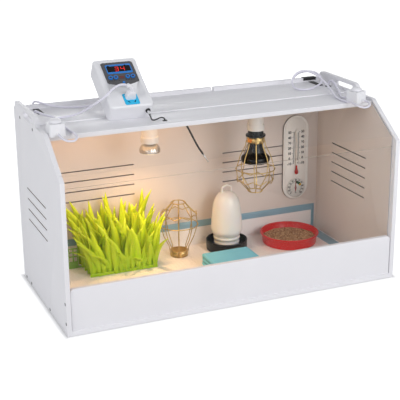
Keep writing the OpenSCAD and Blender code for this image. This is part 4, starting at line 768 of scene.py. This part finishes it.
# Two white dimmers on the roof, each a rounded box with a cord boss at both ends and a domed knob with a
# fine grip and a pointer. Black rubber grommets line the holes where the lamp leads pass the roof.
pointer_grey = moulded("pointer_grey", card(150, 150, 156), rough=0.5)
knob_r, knob_skirt, knob_dome, knob_tall = 0.0135, 0.0022, 0.0068, 0.009
grips, grip_deep, grip_low, grip_high = 36, 0.012, 0.0003, 0.0035
eased("roof_grommets", black_rubber, 0.0004)
for side in ("left", "right"):
    eased(side + "_dimmer_body", white_case, 0.0018, 4)
    low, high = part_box(side + "_dimmer_knob")
    middle = ((low[0] + high[0]) / 2, (low[1] + high[1]) / 2, high[2] - knob_tall)
    knob_line = [(0.0, 0.0), (0.0132, 0.0), (knob_r, 0.0004), (knob_r, knob_skirt)]
    knob_line += [
        (knob_r * math.cos(math.radians(a)), knob_skirt + knob_dome * math.sin(math.radians(a)))
        for a in range(8, 91, 8)
    ]
    knob = turned(knob_line + [(0, knob_tall)], 72)
    for vertex in knob.verts:
        if grip_low < vertex.co.z < grip_high:
            angle = math.atan2(vertex.co.y, vertex.co.x)
            vertex.co.xy *= 1 - grip_deep * (0.5 + 0.5 * math.cos(grips * angle))
    plate(knob, 0.0012, 0.006, 0.0006, 0.0003, (0, 0, 0))
    pointer = [
        v
        for v in knob.verts
        if abs(v.co.x) < 0.0007 and abs(v.co.z) < 0.0031 and abs(v.co.y) < 0.0004
    ]
    on_dome = Matrix.Translation((0, 0.0075, 0.0079)) @ Matrix.Rotation(math.radians(-116), 4, "X")
    bmesh.ops.transform(knob, matrix=on_dome, verts=pointer)
    for face in knob.faces:
        if all(v in pointer for v in face.verts):
            face.material_index = 1
    bmesh.ops.translate(knob, vec=middle, verts=knob.verts[:])
    skinned(
        knob, side + "_knob_cap", [white_plug, pointer_grey], side + "_knob", [side + "_dimmer_knob"]
    )

# Two white lamp holders hang under the roof. The left one carries a silvered reflector lamp whose round
# lens glows warm; its fluted glass is thin enough to let a little of that light through.
white_holder = moulded("white_holder", card(232, 228, 222), rough=0.4)
silvered = moulded(
    "silvered", card(180, 176, 170), rough=0.24, mottle=0.12, metal=0.75,
    glow=((1.0, 0.62, 0.34, 1), 0.12),
)
hot_lens = moulded("hot_lens", card(255, 232, 196), rough=0.2, glow=((1.0, 0.8, 0.52, 1), 2.2))
eased("left_lamp_holder", white_holder, 0.001, 3)
eased("right_lamp_holder", white_holder, 0.001, 3)
left_lamp_xy, holders_foot = (-0.1195, 0.055), 0.3315
under_left = Matrix.Translation((*left_lamp_xy, holders_foot))
flutes, flute_deep, flute_low, flute_high = 24, 0.016, -0.0175, -0.004
bowl = turned(
    [
        (0, 0.001), (0.0128, 0.001), (0.0128, -0.0035), (0.0165, -0.005), (0.0196, -0.0078),
        (0.0221, -0.0115), (0.0238, -0.0155), (0.0245, -0.0185), (0.0245, -0.0222), (0.0238, -0.0232),
    ],
    96,
)
for vertex in bowl.verts:
    if flute_low < vertex.co.z < flute_high:
        angle = math.atan2(vertex.co.y, vertex.co.x)
        vertex.co.xy *= 1 + flute_deep * math.cos(flutes * angle)
bmesh.ops.transform(bowl, matrix=under_left, verts=bowl.verts[:])
skinned(bowl, "reflector_bowl", [silvered], "box", ["reflector_lamp"])
lens = turned(
    [(0.0239, -0.0229), (0.0225, -0.0238), (0.018, -0.0252), (0.0105, -0.0265), (0, -0.027)],
    48, under_left,
)
skinned(lens, "reflector_lens", [hot_lens], "box", ["reflector_lamp"])
heat = bpy.data.lights.new("lamp_light", "SPOT")
heat.energy = 2.2
heat.color = (1.0, 0.6, 0.29)
heat.spot_size = math.radians(140)
heat.spot_blend = 1.0
heat.shadow_soft_size = 0.02
heat_lamp = bpy.data.objects.new("lamp_light", heat)
heat_lamp.location = (*left_lamp_xy, 0.302)
scene.collection.objects.link(heat_lamp)
warmth = bpy.data.lights.new("lamp_warmth", "AREA")
warmth.shape = "RECTANGLE"
warmth.size, warmth.size_y = 0.36, 0.2
warmth.energy = 0.3
warmth.color = (1.0, 0.6, 0.3)
warm_glow = bpy.data.objects.new("lamp_warmth", warmth)
warm_glow.location = (-0.17, 0.05, 0.388)
warm_glow.visible_camera = False
scene.collection.objects.link(warm_glow)

# The right holder carries a black ceramic heat emitter: a ribbed collar, a waisted neck and a wide
# glazed foot, pressed and fired in one.
black_ceramic = moulded(
    "black_ceramic", card(9, 9, 10), rough=0.2, mottle=0.15, skin=500, relief=0.15, shine=0.22
)
right_lamp_xy = (0.1515, 0.055)
under_right = Matrix.Translation((*right_lamp_xy, holders_foot))
collar = solid_of("lamp_collar")
for step in range(3):
    rib(collar, (*right_lamp_xy, 0.3225 + 0.0028 * step), (0, 0, 1), 0.0189, 0.0012)
ease_edges(collar, 0.0004)
skinned(collar, "emitter_collar", [black_ceramic], "box", ["lamp_collar"])
emitter = turned(
    [
        (0, 0.02), (0.013, 0.02), (0.0132, -0.027), (0.0172, -0.029), (0.0182, -0.035), (0.0192, -0.043),
        (0.0216, -0.0515), (0.0262, -0.0585), (0.0318, -0.0635), (0.0345, -0.0672), (0.035, -0.0705),
        (0.0348, -0.0745), (0.0332, -0.0782), (0.0295, -0.0803), (0.024, -0.0808), (0, -0.081),
    ],
    64, under_right,
)
skinned(emitter, "heat_emitter", [black_ceramic], "box", ["ceramic_emitter"], 60)

# Brass wire guards, one clamped round the emitter's collar and a spare one upside down on the floor.
# Eight bent wires are soldered to three rings and to a brass band, with a drop of solder at each ring.
brass_wire = moulded(
    "brass_wire", card(198, 170, 112), rough=0.32, mottle=0.26, skin=600, metal=0.8
)
orange_patch = moulded("orange_patch", card(232, 138, 30), rough=0.4)
pad_top, wires = 0.014, 8
guard_rings = ((0.0468, 0.08142), (0.0437, 0.10848), (0.0172, 0.1375))
for node, middle, hangs in (
    ("lamp_guard", (*right_lamp_xy, 0.3165), 1), ("spare_guard", (-0.024, 0.1225, pad_top), -1),
):
    guard = solid_of(node)
    for wire in range(wires):
        angle = (wire + 0.5) * math.tau / wires
        for reach, drop in guard_rings:
            out = Vector((reach * math.cos(angle), reach * math.sin(angle), -hangs * drop))
            bmesh.ops.create_icosphere(
                guard, subdivisions=1, radius=0.0023, matrix=Matrix.Translation(Vector(middle) + out)
            )
    skinned(guard, node + "_made", [brass_wire], "box", [node], 75)
# A small flat orange plate stands on the band of the guard round the emitter.
patch_plate = bmesh.new()
plate(patch_plate, 0.011, 0.009, 0.0012, 0.002, (0, -0.0226, 0))
on_band = Matrix.Translation((*right_lamp_xy, 0.309)) @ Matrix.Rotation(math.radians(-64), 4, "Z")
bmesh.ops.transform(patch_plate, matrix=on_band, verts=patch_plate.verts[:])
skinned(patch_plate, "guard_orange_patch", [orange_patch], "box")

# Wall instrument: a long white plate with a groove round its face, hung on the back panel; its side
# faces and the groove's walls are painted grey as painted shade. A thin glass tube with a red bulb
# stands between two printed scales, over a round hygrometer card under a clear cover.
gauge_white = moulded("gauge_white", card(250, 247, 242), rough=0.4, mottle=0.02)
edge_shade_grey = moulded("edge_shade_grey", card(120, 110, 106), rough=0.5)
dial_card = moulded("dial_card", card(238, 236, 230), rough=0.6)
red_spirit = moulded("red_spirit", card(178, 22, 18), rough=0.2)
milk_glass = moulded("milk_glass", card(246, 242, 236), rough=0.12, mottle=0.03)
dial_green = moulded("dial_green", card(30, 80, 48), rough=0.6)
dial_amber = moulded("dial_amber", card(222, 170, 40), rough=0.6)
gauge_x, plate_face, bulb_z, dial_z = 0.324, 0.169, 0.174, 0.131

gauge = solid_of("gauge_plate")
ease_edges(gauge, 0.0016, 3)
front = max((f for f in gauge.faces if f.normal.y < -0.99), key=lambda f: f.calc_area())
for thickness, depth in ((0.0032, 0), (0.0008, -0.0009), (0.0007, 0), (0.0008, 0.0009)):
    bmesh.ops.inset_region(gauge, faces=[front], thickness=thickness, depth=depth)
# Painted shade: every face that does not face the front, the plate's sides and the groove's walls, takes
# the grey.
for face in gauge.faces:
    face.material_index = int(face.normal.y > -0.35)
skinned(gauge, "gauge_plate_made", [gauge_white, edge_shade_grey], "box", ["gauge_plate"])

upright_tube = Matrix.Translation((gauge_x, plate_face - 0.005, bulb_z))
glass_tube = turned(
    [(0, 0.006), (0.0016, 0.006), (0.0021, 0.009), (0.0021, 0.1145), (0.0013, 0.1172), (0, 0.118)],
    24, upright_tube,
)
skinned(glass_tube, "thermometer_glass", [milk_glass], "box", ["thermometer_tube"])
bulb = turned(
    [
        (0, -0.006), (0.0022, -0.0055), (0.004, -0.004), (0.0048, -0.0012), (0.0045, 0.0022),
        (0.0034, 0.006), (0.0024, 0.0095), (0.0022, 0.012), (0.0022, 0.0185), (0, 0.0188),
    ],
    24, upright_tube,
)
skinned(bulb, "thermometer_bulb", [red_spirit], "box", ["thermometer_tube"])
clips = bmesh.new()
for z in (0.029, 0.108):
    plate(clips, 0.0086, 0.0034, 0.0074, 0.0008, (gauge_x, plate_face - 0.0037, bulb_z + z))
ease_edges(clips, 0.0006)
skinned(clips, "tube_clips", [gauge_white], "box", ["thermometer_tube"])


def figure(shape, words, tall, place):
    """Adds plain printed figures that face the front."""
    type_set = bpy.data.curves.new("figure", "FONT")
    type_set.body = words
    type_set.size = tall * 1.4
    type_set.extrude = 0.0001
    type_set.offset = tall * 0.05
    type_set.align_x = type_set.align_y = "CENTER"
    proof = bpy.data.objects.new("figure", type_set)
    flat = bpy.data.meshes.new_from_object(proof)
    flat.transform(Matrix.Translation(place) @ Matrix.Rotation(math.radians(90), 4, "X"))
    shape.from_mesh(flat)
    bpy.data.objects.remove(proof)
    bpy.data.curves.remove(type_set)
    bpy.data.meshes.remove(flat)


scale = bmesh.new()
print_y = plate_face - 0.0001
for degree in range(-10, 51, 2):
    height = bulb_z + 0.022 + (degree + 10) * 0.0014
    length = 0.0062 if degree % 10 == 0 else 0.0038
    for side in (-1, 1):
        tick_x = gauge_x + side * (0.0052 + length / 2)
        plate(scale, length, 0.0008, 0.0003, 0, (tick_x, print_y, height))
    if degree % 10 == 0:
        for side in (-1, 1):
            figure(scale, str(degree), 0.0064, (gauge_x + side * 0.0188, print_y, height))
for side in (-1, 1):
    plate(scale, 0.0011, 0.085, 0.0003, 0, (gauge_x + side * 0.0056, print_y, bulb_z + 0.064))
skinned(scale, "thermometer_scale", [print_black], "box")

eased("hygrometer_dial", dial_card, 0.0003)
dial_print = bmesh.new()
card_front, dry_end = plate_face - 0.0026, -135


def on_dial(reach, angle):
    """A point on the card, so far from its middle and turned so far from upright."""
    return gauge_x + reach * math.sin(angle), card_front, dial_z + reach * math.cos(angle)


for tick in range(51):
    turn = dry_end + 5.4 * tick
    if -6 < turn < 74:
        continue
    angle = math.radians(turn)
    length = 0.0034 if tick % 5 == 0 else 0.002
    plate(dial_print, 0.0007, length, 0.0002, 0, on_dial(0.0178 - length / 2, angle), angle)
for percent in range(0, 101, 10):
    figure(dial_print, str(percent), 0.0038, on_dial(0.0206, math.radians(dry_end + 2.7 * percent)))
figure(dial_print, "%", 0.0042, (gauge_x, card_front, dial_z - 0.0135))
skinned(dial_print, "dial_print", [print_black], "box")
comfort = bmesh.new()
for start, stop, number in ((-4, 50, 0), (50, 72, 1)):
    inner = comfort.verts.new((0.0112, -0.0001, 0))
    outer = comfort.verts.new((0.0182, -0.0001, 0))
    edge = comfort.edges.new((inner, outer))
    turn_to = Matrix.Rotation(math.radians(90 - stop), 3, "Y").inverted()
    bmesh.ops.rotate(comfort, cent=(0, 0, 0), matrix=turn_to, verts=[inner, outer])
    before = len(comfort.faces)
    bmesh.ops.spin(
        comfort, geom=[inner, outer, edge], cent=(0, 0, 0), axis=(0, -1, 0),
        angle=math.radians(stop - start), steps=10,
    )
    comfort.faces.ensure_lookup_table()
    for face in comfort.faces[before:]:
        face.material_index = number
bmesh.ops.recalc_face_normals(comfort, faces=comfort.faces[:])
if comfort.faces[0].normal.y > 0:
    bmesh.ops.reverse_faces(comfort, faces=comfort.faces[:])
bmesh.ops.translate(comfort, vec=(gauge_x, card_front, dial_z), verts=comfort.verts[:])
skinned(comfort, "dial_band", [dial_green, dial_amber], "box")
eased("hygrometer_needle", red_spirit, 0.0002)
eased("dial_cover", clear_acrylic, 0.0006)

# Drinker: a milky blown jar, bell-shaped, ridged at its neck and notched at its mouth, upside down on
# the seat of a black moulded tray, with a flat moulded bail on its crown.
milky = moulded("milky", card(247, 243, 237), rough=0.22, mottle=0.03, skin=300, relief=0.03)
milk_body = milky.node_tree.nodes["Principled BSDF"]
milk_body.inputs["Subsurface Weight"].default_value = 0.25
milk_body.inputs["Subsurface Radius"].default_value = (0.012, 0.008, 0.005)
black_tray = moulded("black_tray", card(14, 14, 15), rough=0.34, relief=0.1, shine=0.28)
drinker, tray_seat, jar_tall = (0.104, 0.119), 0.0075, 0.143
jar_foot = pad_top + tray_seat
jar = turned(
    [
        (0.0308, 0), (0.0314, 0.0006), (0.0315, 0.0068), (0.0315, 0.0105), (0.0322, 0.0112),
        (0.0322, 0.0132), (0.0315, 0.014), (0.0316, 0.0205), (0.0326, 0.0214), (0.0333, 0.0228),
        (0.0333, 0.0258), (0.0324, 0.027), (0.032, 0.0282), (0.0326, 0.03), (0.0346, 0.0335),
        (0.0368, 0.0378), (0.0383, 0.042), (0.039, 0.047), (0.039, 0.053), (0.0385, 0.064),
        (0.0376, 0.078), (0.0362, 0.092), (0.0345, 0.104), (0.0325, 0.1145), (0.0297, 0.1235),
        (0.0258, 0.131), (0.0207, 0.1368), (0.0144, 0.1406), (0.0073, 0.1425), (0, jar_tall),
    ],
    64,
)
notches, notch_tall, notch_turn, notch_half = [], 0.0065, 25, 8
for face in jar.faces:
    spot = face.calc_center_median()
    quarter = (math.degrees(math.atan2(spot.y, spot.x)) + notch_turn) % 90
    if spot.z < notch_tall and abs(quarter - 45) > 45 - notch_half:
        notches.append(face)
bmesh.ops.delete(jar, geom=notches, context="FACES")
bmesh.ops.translate(jar, vec=(*drinker, jar_foot), verts=jar.verts[:])
jar_piece = skinned(jar, "drinker_jar_made", [milky], "jar", ["drinker_jar"], 60)
wall = jar_piece.modifiers.new("wall", "SOLIDIFY")
wall.thickness = 0.002
wall.offset = -1
bail = bmesh.new()
bail_line = [
    (-0.0145, -0.006), (-0.0145, 0.0115), (-0.0128, 0.0135), (0, 0.019), (0.0128, 0.0135),
    (0.0145, 0.0115), (0.0145, -0.006), (0.0104, -0.006), (0.0104, 0.0098), (0, 0.0143),
    (-0.0104, 0.0098), (-0.0104, -0.006),
]
bail_face = bail.faces.new([bail.verts.new((x, -0.003, z)) for x, z in bail_line])
grown = bmesh.ops.extrude_face_region(bail, geom=[bail_face])["geom"]
far_side = [g for g in grown if isinstance(g, bmesh.types.BMVert)]
bmesh.ops.translate(bail, vec=(0, 0.006, 0), verts=far_side)
bmesh.ops.recalc_face_normals(bail, faces=bail.faces[:])
ease_edges(bail, 0.001, 3, 30)
bmesh.ops.translate(bail, vec=(*drinker, jar_foot + jar_tall), verts=bail.verts[:])
skinned(bail, "drinker_bail", [milky], "jar", ["drinker_handle"])
tray = turned(
    [
        (0, 0), (0.0502, 0), (0.0511, 0.0008), (0.0514, 0.0075), (0.0516, 0.0205), (0.052, 0.0215),
        (0.052, 0.0245), (0.0512, 0.0258), (0.0501, 0.026), (0.0493, 0.0252), (0.049, 0.0205),
        (0.0484, 0.0045), (0.0468, 0.0026), (0.0346, 0.0025), (0.034, 0.0032), (0.0338, 0.0068),
        (0.0331, tray_seat), (0.0262, tray_seat), (0.0256, 0.0068), (0.0254, 0.003), (0, 0.0025),
    ],
    72, Matrix.Translation((*drinker, pad_top)),
)
skinned(tray, "drinker_tray_made", [black_tray], nodes["drinker_tray"]["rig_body"], ["drinker_tray"])

# Feeder: a red moulded dish with a rolled rim and sloping sides, filled with ground feed in a low heap
# of crumbs and broken grain.
red_dish = moulded("red_dish", card(214, 38, 36), rough=0.3, relief=0.08)
ground_feed = moulded(
    "ground_feed", card(178, 138, 100), rough=0.95, mottle=0.35, skin=500, relief=0.8
)
pale_grain = moulded("pale_grain", card(214, 178, 134), rough=0.8, mottle=0.2)
dark_grain = moulded("dark_grain", card(138, 96, 62), rough=0.85, mottle=0.2)
feeder = (0.27, 0.096)
dish = turned(
    [
        (0, 0), (0.0662, 0), (0.0678, 0.0008), (0.0688, 0.004), (0.0712, 0.0225), (0.072, 0.0236),
        (0.0742, 0.0242), (0.075, 0.0254), (0.0749, 0.027), (0.0738, 0.028), (0.0712, 0.028),
        (0.07, 0.0272), (0.0694, 0.025), (0.0668, 0.0042), (0.065, 0.0024), (0, 0.0024),
    ],
    96, Matrix.Translation((*feeder, pad_top)),
)
skinned(dish, "feeder_dish_made", [red_dish], "feeder", ["feeder_dish"])


def heap(x, y):
    """Height of the feed over the dish's foot at a point of the heap."""
    waves = 0.0014 * noise.noise((x * 60, y * 60, 1.7))
    return 0.0128 + waves + 0.0006 * noise.noise((x * 210, y * 210, 4.1))


crumb_count = 760
feed = turned([(0, 0.003), (0.066, 0.003)] + [(0.0679 * (1 - k / 16), 0.013) for k in range(17)], 72)
for vertex in feed.verts:
    if vertex.co.z > 0.01:
        vertex.co.z = heap(vertex.co.x, vertex.co.y)
chance = random.Random(11)
crumbs = bmesh.new()
for number in range(crumb_count):
    reach, angle = 0.066 * math.sqrt(chance.random()), chance.random() * math.tau
    x, y = reach * math.cos(angle), reach * math.sin(angle)
    spot = Matrix.Translation((x, y, heap(x, y) + 0.0003))
    spin = Matrix.Rotation(chance.random() * math.tau, 4, "Z")
    tumble = spin @ Matrix.Rotation(chance.random(), 4, "Y")
    size = 0.0008 + 0.0008 * chance.random()
    crumb = bmesh.ops.create_icosphere(
        crumbs, subdivisions=1, radius=size, matrix=spot @ tumble @ Matrix.Diagonal((1.7, 1, 0.8, 1))
    )["verts"]
    shade = chance.randrange(2)
    for face in {f for v in crumb for f in v.link_faces}:
        face.material_index = shade
for shape, name, finishes in (
    (feed, "feed_heap", [ground_feed]), (crumbs, "feed_crumbs", [pale_grain, dark_grain]),
):
    bmesh.ops.translate(shape, vec=(*feeder, pad_top), verts=shape.verts[:])
    skinned(shape, name, finishes, "feeder", ["feed"])

# Plastic grass: five sheets of leaves, stamped out of thin green plastic and bent by hand, stand
# between two side sheets on rails. A small pale lattice stands beside them.


def leaf_finish(name, foot, tip):
    """Thin moulded leaf: darker at its foot and paler at its tip, a painted shade low among the leaves,
    with a faint mottle.
    """
    finish = moulded(name, foot, rough=0.42, mottle=0.1, relief=0.15)
    tree = finish.node_tree
    body = tree.nodes["Principled BSDF"]
    tint = body.inputs["Base Color"].links[0].from_node
    where = next(n for n in tree.nodes if n.type == "TEX_COORD")
    split = tree.nodes.new("ShaderNodeSeparateXYZ")
    rise = tree.nodes.new("ShaderNodeMapRange")
    rise.inputs["From Min"].default_value = 0.02
    rise.inputs["From Max"].default_value = 0.17
    paler = tree.nodes.new("ShaderNodeMix")
    paler.data_type = "RGBA"
    paler.inputs["B"].default_value = tip
    tree.links.new(where.outputs["Object"], split.inputs["Vector"])
    tree.links.new(split.outputs["Z"], rise.inputs["Value"])
    tree.links.new(rise.outputs["Result"], paler.inputs["Factor"])
    tree.links.new(tint.outputs["Result"], paler.inputs["A"])
    tree.links.new(paler.outputs["Result"], body.inputs["Base Color"])
    body.inputs["Subsurface Weight"].default_value = 0.3
    body.inputs["Subsurface Radius"].default_value = (0.004, 0.005, 0.001)
    return finish


# Painted shade: the leaves' foot colour is darker than their tip colour.
leaf = leaf_finish("leaf", card(172, 214, 20), card(226, 238, 34))
pale_lattice = moulded("pale_lattice", card(140, 190, 96), rough=0.45, mottle=0.1)
grass_left, grass_front, grass_span, sheet = -0.27, 0.0714, 0.17, 0.0016
row_pitch, row_count, row_leaves, side_leaves = 0.023, 5, 12, 8
side_sheets, grass_middle = (-0.2632, -0.1068), grass_front + 0.0468
leaves = bmesh.new()


def leaf_blade(root, width, tall, lean, heading, bow):
    """Adds one bent leaf: its foot at root, its flat side square to heading, its tip leaning over."""
    blade = bmesh.ops.create_grid(leaves, x_segments=2, y_segments=8, size=0.5)["verts"]
    along = Vector((math.cos(heading), math.sin(heading), 0))
    out = Vector((-along.y, along.x, 0))
    for vertex in blade:
        over, rise = vertex.co.x * 2, vertex.co.y + 0.5
        swell = 0.22 + 0.78 * math.sin(math.pi * (0.12 + 0.72 * rise))
        half = width / 2 * swell * (1 - rise**6) + 0.0005
        vertex.co = (
            Vector(root)
            + along * (over * half + lean[0] * rise**2.2)
            + out * (lean[1] * rise**2 + bow * abs(over) * half)
            + Vector((0, 0, tall * (rise - 0.06 * rise**3)))
        )


sway = random.Random(5)
for row in range(row_count):
    y = grass_front + row * row_pitch + sheet / 2
    tall_here = 0.124 + 0.016 * row
    for number in range(row_leaves):
        fan = -0.042 + 0.058 * number / (row_leaves - 1)
        tall = tall_here * (0.87 + 0.13 * math.sin(math.radians(67 * number + 114 * row)))
        shift = 1.7 * math.sin(math.radians(131 * number + 57 * row)) * grass_span / row_leaves
        x = grass_left + grass_span / row_leaves * (number + 0.5)
        leaf_blade(
            (x, y, pad_top + 0.003), 0.0165, tall, (fan + shift, sway.uniform(-0.024, 0.012)), 0,
            sway.uniform(-0.35, 0.35),
        )
        leaf_blade(
            (x + sway.uniform(-0.005, 0.005), y + 0.002, pad_top + 0.003), 0.0135,
            tall * sway.uniform(0.5, 0.84),
            (min(fan * 0.5 + sway.uniform(-0.05, 0.05), -0.09 - x), sway.uniform(-0.045, 0.008)), 0,
            sway.uniform(-0.45, 0.45),
        )
for x, outside in zip(side_sheets, (1, -1)):
    for number in range(side_leaves):
        y = grass_front + 0.004 + number * 0.0122
        leaf_blade(
            (x, y, pad_top + 0.004), 0.0135, 0.1316 * (0.84 + 0.16 * math.sin(2.1 * number + x * 40)),
            (sway.uniform(-0.01, 0.006), outside * sway.uniform(0.01, 0.03)), math.pi / 2,
            sway.uniform(-0.3, 0.3),
        )
leaf_piece = skinned(leaves, "grass_leaves", [leaf], "box", ["grass_mat"], 60)
gauge_of_leaf = leaf_piece.modifiers.new("sheet", "SOLIDIFY")
gauge_of_leaf.thickness = 0.0011
gauge_of_leaf.offset = 0
feet = bmesh.new()
for row in range(row_count):
    plate(
        feet, grass_span, 0.008, sheet, 0.002,
        (grass_left + grass_span / 2, grass_front + row * row_pitch + sheet / 2, pad_top + 0.004),
    )
for x in side_sheets:
    side_foot = plate(feet, 0.095, 0.044, sheet, 0.003, (0, 0, 0))
    crosswise = Matrix.Rotation(math.pi / 2, 4, "Z")
    at_end = Matrix.Translation((x, grass_middle, pad_top + 0.022)) @ crosswise
    bmesh.ops.transform(feet, matrix=at_end, verts=side_foot)
for number in range(4):
    rail_x = grass_left + 0.023 + number * 0.0413
    plate(feet, 0.006, 0.003, 0.0966, 0, (rail_x, grass_middle, pad_top + 0.0015))
ease_edges(feet, 0.0004)
skinned(feet, "grass_feet", [leaf], "box", ["grass_mat"])
lattice = bmesh.new()
lattice_x, lattice_y = -0.289, 0.1458
for x in (-0.3, lattice_x, -0.278):
    plate(lattice, 0.003, 0.051, 0.0016, 0.0006, (x, lattice_y, pad_top + 0.0255))
for z in (0.0295, 0.0405, 0.0495):
    plate(lattice, 0.024, 0.003, 0.0015, 0.0006, (lattice_x, lattice_y, pad_top + z))
plate(lattice, 0.024, 0.017, 0.0017, 0.0006, (lattice_x, lattice_y, pad_top + 0.0085))
plate(lattice, 0.043, 0.003, 0.006, 0.0008, (-0.2785, lattice_y, pad_top + 0.0015))
ease_edges(lattice, 0.0004)
skinned(lattice, "grass_lattice", [pale_lattice], "box", ["grass_mat"])

# Absorbent floor pad: white fluff between two thin cloths, embossed in small squares, with a blue-grey
# film border. It lies loose on the floor, and its rear edge turns up the back panel.


def nonwoven(name, colour, pitch, deep):
    """Bonded cloth: fine fibres, with an embossed grid of squares of the given pitch."""
    finish = moulded(name, colour, rough=0.86, mottle=0.05, skin=1800, relief=0.35)
    tree = finish.node_tree
    body = tree.nodes["Principled BSDF"]
    fibres = body.inputs["Normal"].links[0].from_node
    where = next(n for n in tree.nodes if n.type == "TEX_COORD")
    ribs = []
    for way in ("X", "Y"):
        rows = tree.nodes.new("ShaderNodeTexWave")
        rows.bands_direction = way
        rows.inputs["Scale"].default_value = 0.314 / pitch
        tree.links.new(where.outputs["Object"], rows.inputs["Vector"])
        ribs.append(rows)
    grid = worked(tree, "MULTIPLY", *(rows.outputs["Fac"] for rows in ribs))
    press = tree.nodes.new("ShaderNodeBump")
    press.inputs["Strength"].default_value = deep
    press.inputs["Distance"].default_value = 0.001
    tree.links.new(grid, press.inputs["Height"])
    tree.links.new(fibres.outputs["Normal"], press.inputs["Normal"])
    tree.links.new(press.outputs["Normal"], body.inputs["Normal"])
    return finish


pad_cloth = nonwoven("pad_cloth", card(248, 243, 240), 0.009, 0.5)
border_film = moulded(
    "border_film", card(140, 176, 194), rough=0.4, mottle=0.12, skin=90, relief=0.25
)
pad_wide, pad_front, pad_back, pad_foot, pad_tip, bend = 0.768, -0.16, 0.1745, 0.0102, 0.0779, 0.009
floor_full, upright_full, round_edge, seam_in, seam_half = 0.0036, 0.0024, 0.012, 0.03, 0.0025
film_side, film_side_up, film_top, film_front = 0.354, 0.376, 0.06, -0.13
pad = bmesh.new()
bmesh.ops.create_grid(pad, x_segments=170, y_segments=96, size=0.5)
upper = pad.verts[:]
lower = [
    g
    for g in bmesh.ops.extrude_face_region(pad, geom=pad.faces[:])["geom"]
    if isinstance(g, bmesh.types.BMVert)
]
floor_run = pad_back - bend - pad_front
turn_run = bend * math.pi / 2
whole_run = floor_run + turn_run + pad_tip - pad_foot - bend


def pad_place(over, along):
    """A point on the pad's under side and the way its cloth faces there."""
    x = over * pad_wide
    run = (along + 0.5) * whole_run
    if run < floor_run:
        return Vector((x, run + pad_front, pad_foot)), Vector((0, 0, 1))
    angle = min((run - floor_run) / bend, math.pi / 2)
    rise = max(run - floor_run - turn_run, 0)
    y = floor_run + pad_front + bend * math.sin(angle)
    z = pad_foot + bend * (1 - math.cos(angle)) + rise
    return Vector((x, y, z)), Vector((0, -math.sin(angle), math.cos(angle)))


for vertex in lower:
    vertex.co = pad_place(vertex.co.x, vertex.co.y)[0]
for vertex in upper:
    over, along = vertex.co.x, vertex.co.y
    rest, facing = pad_place(over, along)
    edge = min(0.5 - abs(over), (0.5 - abs(along)) * 0.54) * pad_wide
    plump = min(edge / round_edge, 1)
    full = floor_full if facing.z > 0.9 else upright_full
    soft = 0.0005 * noise.noise((rest.x * 14, rest.y * 14, rest.z * 14))
    seam = -0.0009 * math.exp(-(((0.5 - abs(over)) * pad_wide - seam_in) / seam_half) ** 2)
    crown = (0.35 + 0.65 * math.sin(plump * math.pi / 2)) * full
    vertex.co = rest + facing * (crown + plump * (soft + seam))
bmesh.ops.recalc_face_normals(pad, faces=pad.faces[:])
for face in pad.faces:
    spot = face.calc_center_median()
    side_edge = film_side if spot.z < 0.02 else film_side_up
    face.material_index = int(abs(spot.x) > side_edge or spot.z > film_top or spot.y < film_front)
floor_pad = skinned(pad, "floor_pad_made", [pad_cloth, border_film], "box", ["floor_pad"], 70)

# Pack of spare pads: three turquoise pads, each folded in half and pressed, stacked flat on the floor pad
# with their round folds to the left. A thin dark sheet between two layers gives the shade there.
pack_cloth = nonwoven("pack_cloth", card(126, 208, 236), 0.0022, 0.12)
fold_shade = moulded("fold_shade", card(40, 112, 126), rough=0.9)
pack_wide, pack_deep, shade_inset, pack_xy = 0.1215, 0.0825, 0.003, (0.062, -0.0015)
layers = ((0.0, 0.0, 0.0098), (0.0012, 0.0103, 0.0094), (0.0004, 0.0202, 0.0092))
pack = bmesh.new()
for layer, (inset, lift, thick) in enumerate(layers):
    fold = bmesh.new()
    bmesh.ops.create_cube(fold, size=1)
    bmesh.ops.scale(fold, vec=(pack_wide - inset, pack_deep - inset, thick), verts=fold.verts[:])
    bmesh.ops.bevel(
        fold, geom=fold.edges[:], offset=thick * 0.4, segments=4, profile=0.5,
        affect="EDGES", material=-1, clamp_overlap=True,
    )
    long_sides = [e for e in fold.edges if e.calc_length() > 0.03]
    bmesh.ops.subdivide_edges(fold, edges=long_sides, cuts=14, use_grid_fill=True)
    for vertex in fold.verts:
        over, deep = vertex.co.x / 0.061, vertex.co.y / 0.0415
        crown = 0.0007 * (1 - over**2) * (1 - deep**2) if vertex.co.z > 0 else 0
        vertex.co.z += crown + 0.0003 * noise.noise((vertex.co.x * 40, vertex.co.y * 40, layer * 3.3))
    bmesh.ops.translate(fold, vec=(*pack_xy, pad_top + lift + thick / 2), verts=fold.verts[:])
    part = bpy.data.meshes.new("fold")
    fold.to_mesh(part)
    fold.free()
    pack.from_mesh(part)
    bpy.data.meshes.remove(part)
cloth_faces = len(pack.faces)
for z in (0.00995, 0.0199):
    shade_wide, shade_deep = pack_wide - shade_inset, pack_deep - shade_inset
    plate(pack, shade_wide, 0.0008, shade_deep, 0, (*pack_xy, pad_top + z))
pack.faces.ensure_lookup_table()
for face in pack.faces[cloth_faces:]:
    face.material_index = 1
pack_piece = skinned(pack, "pad_pack_made", [pack_cloth, fold_shade], "box", ["pad_pack"], 60)

low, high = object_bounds()
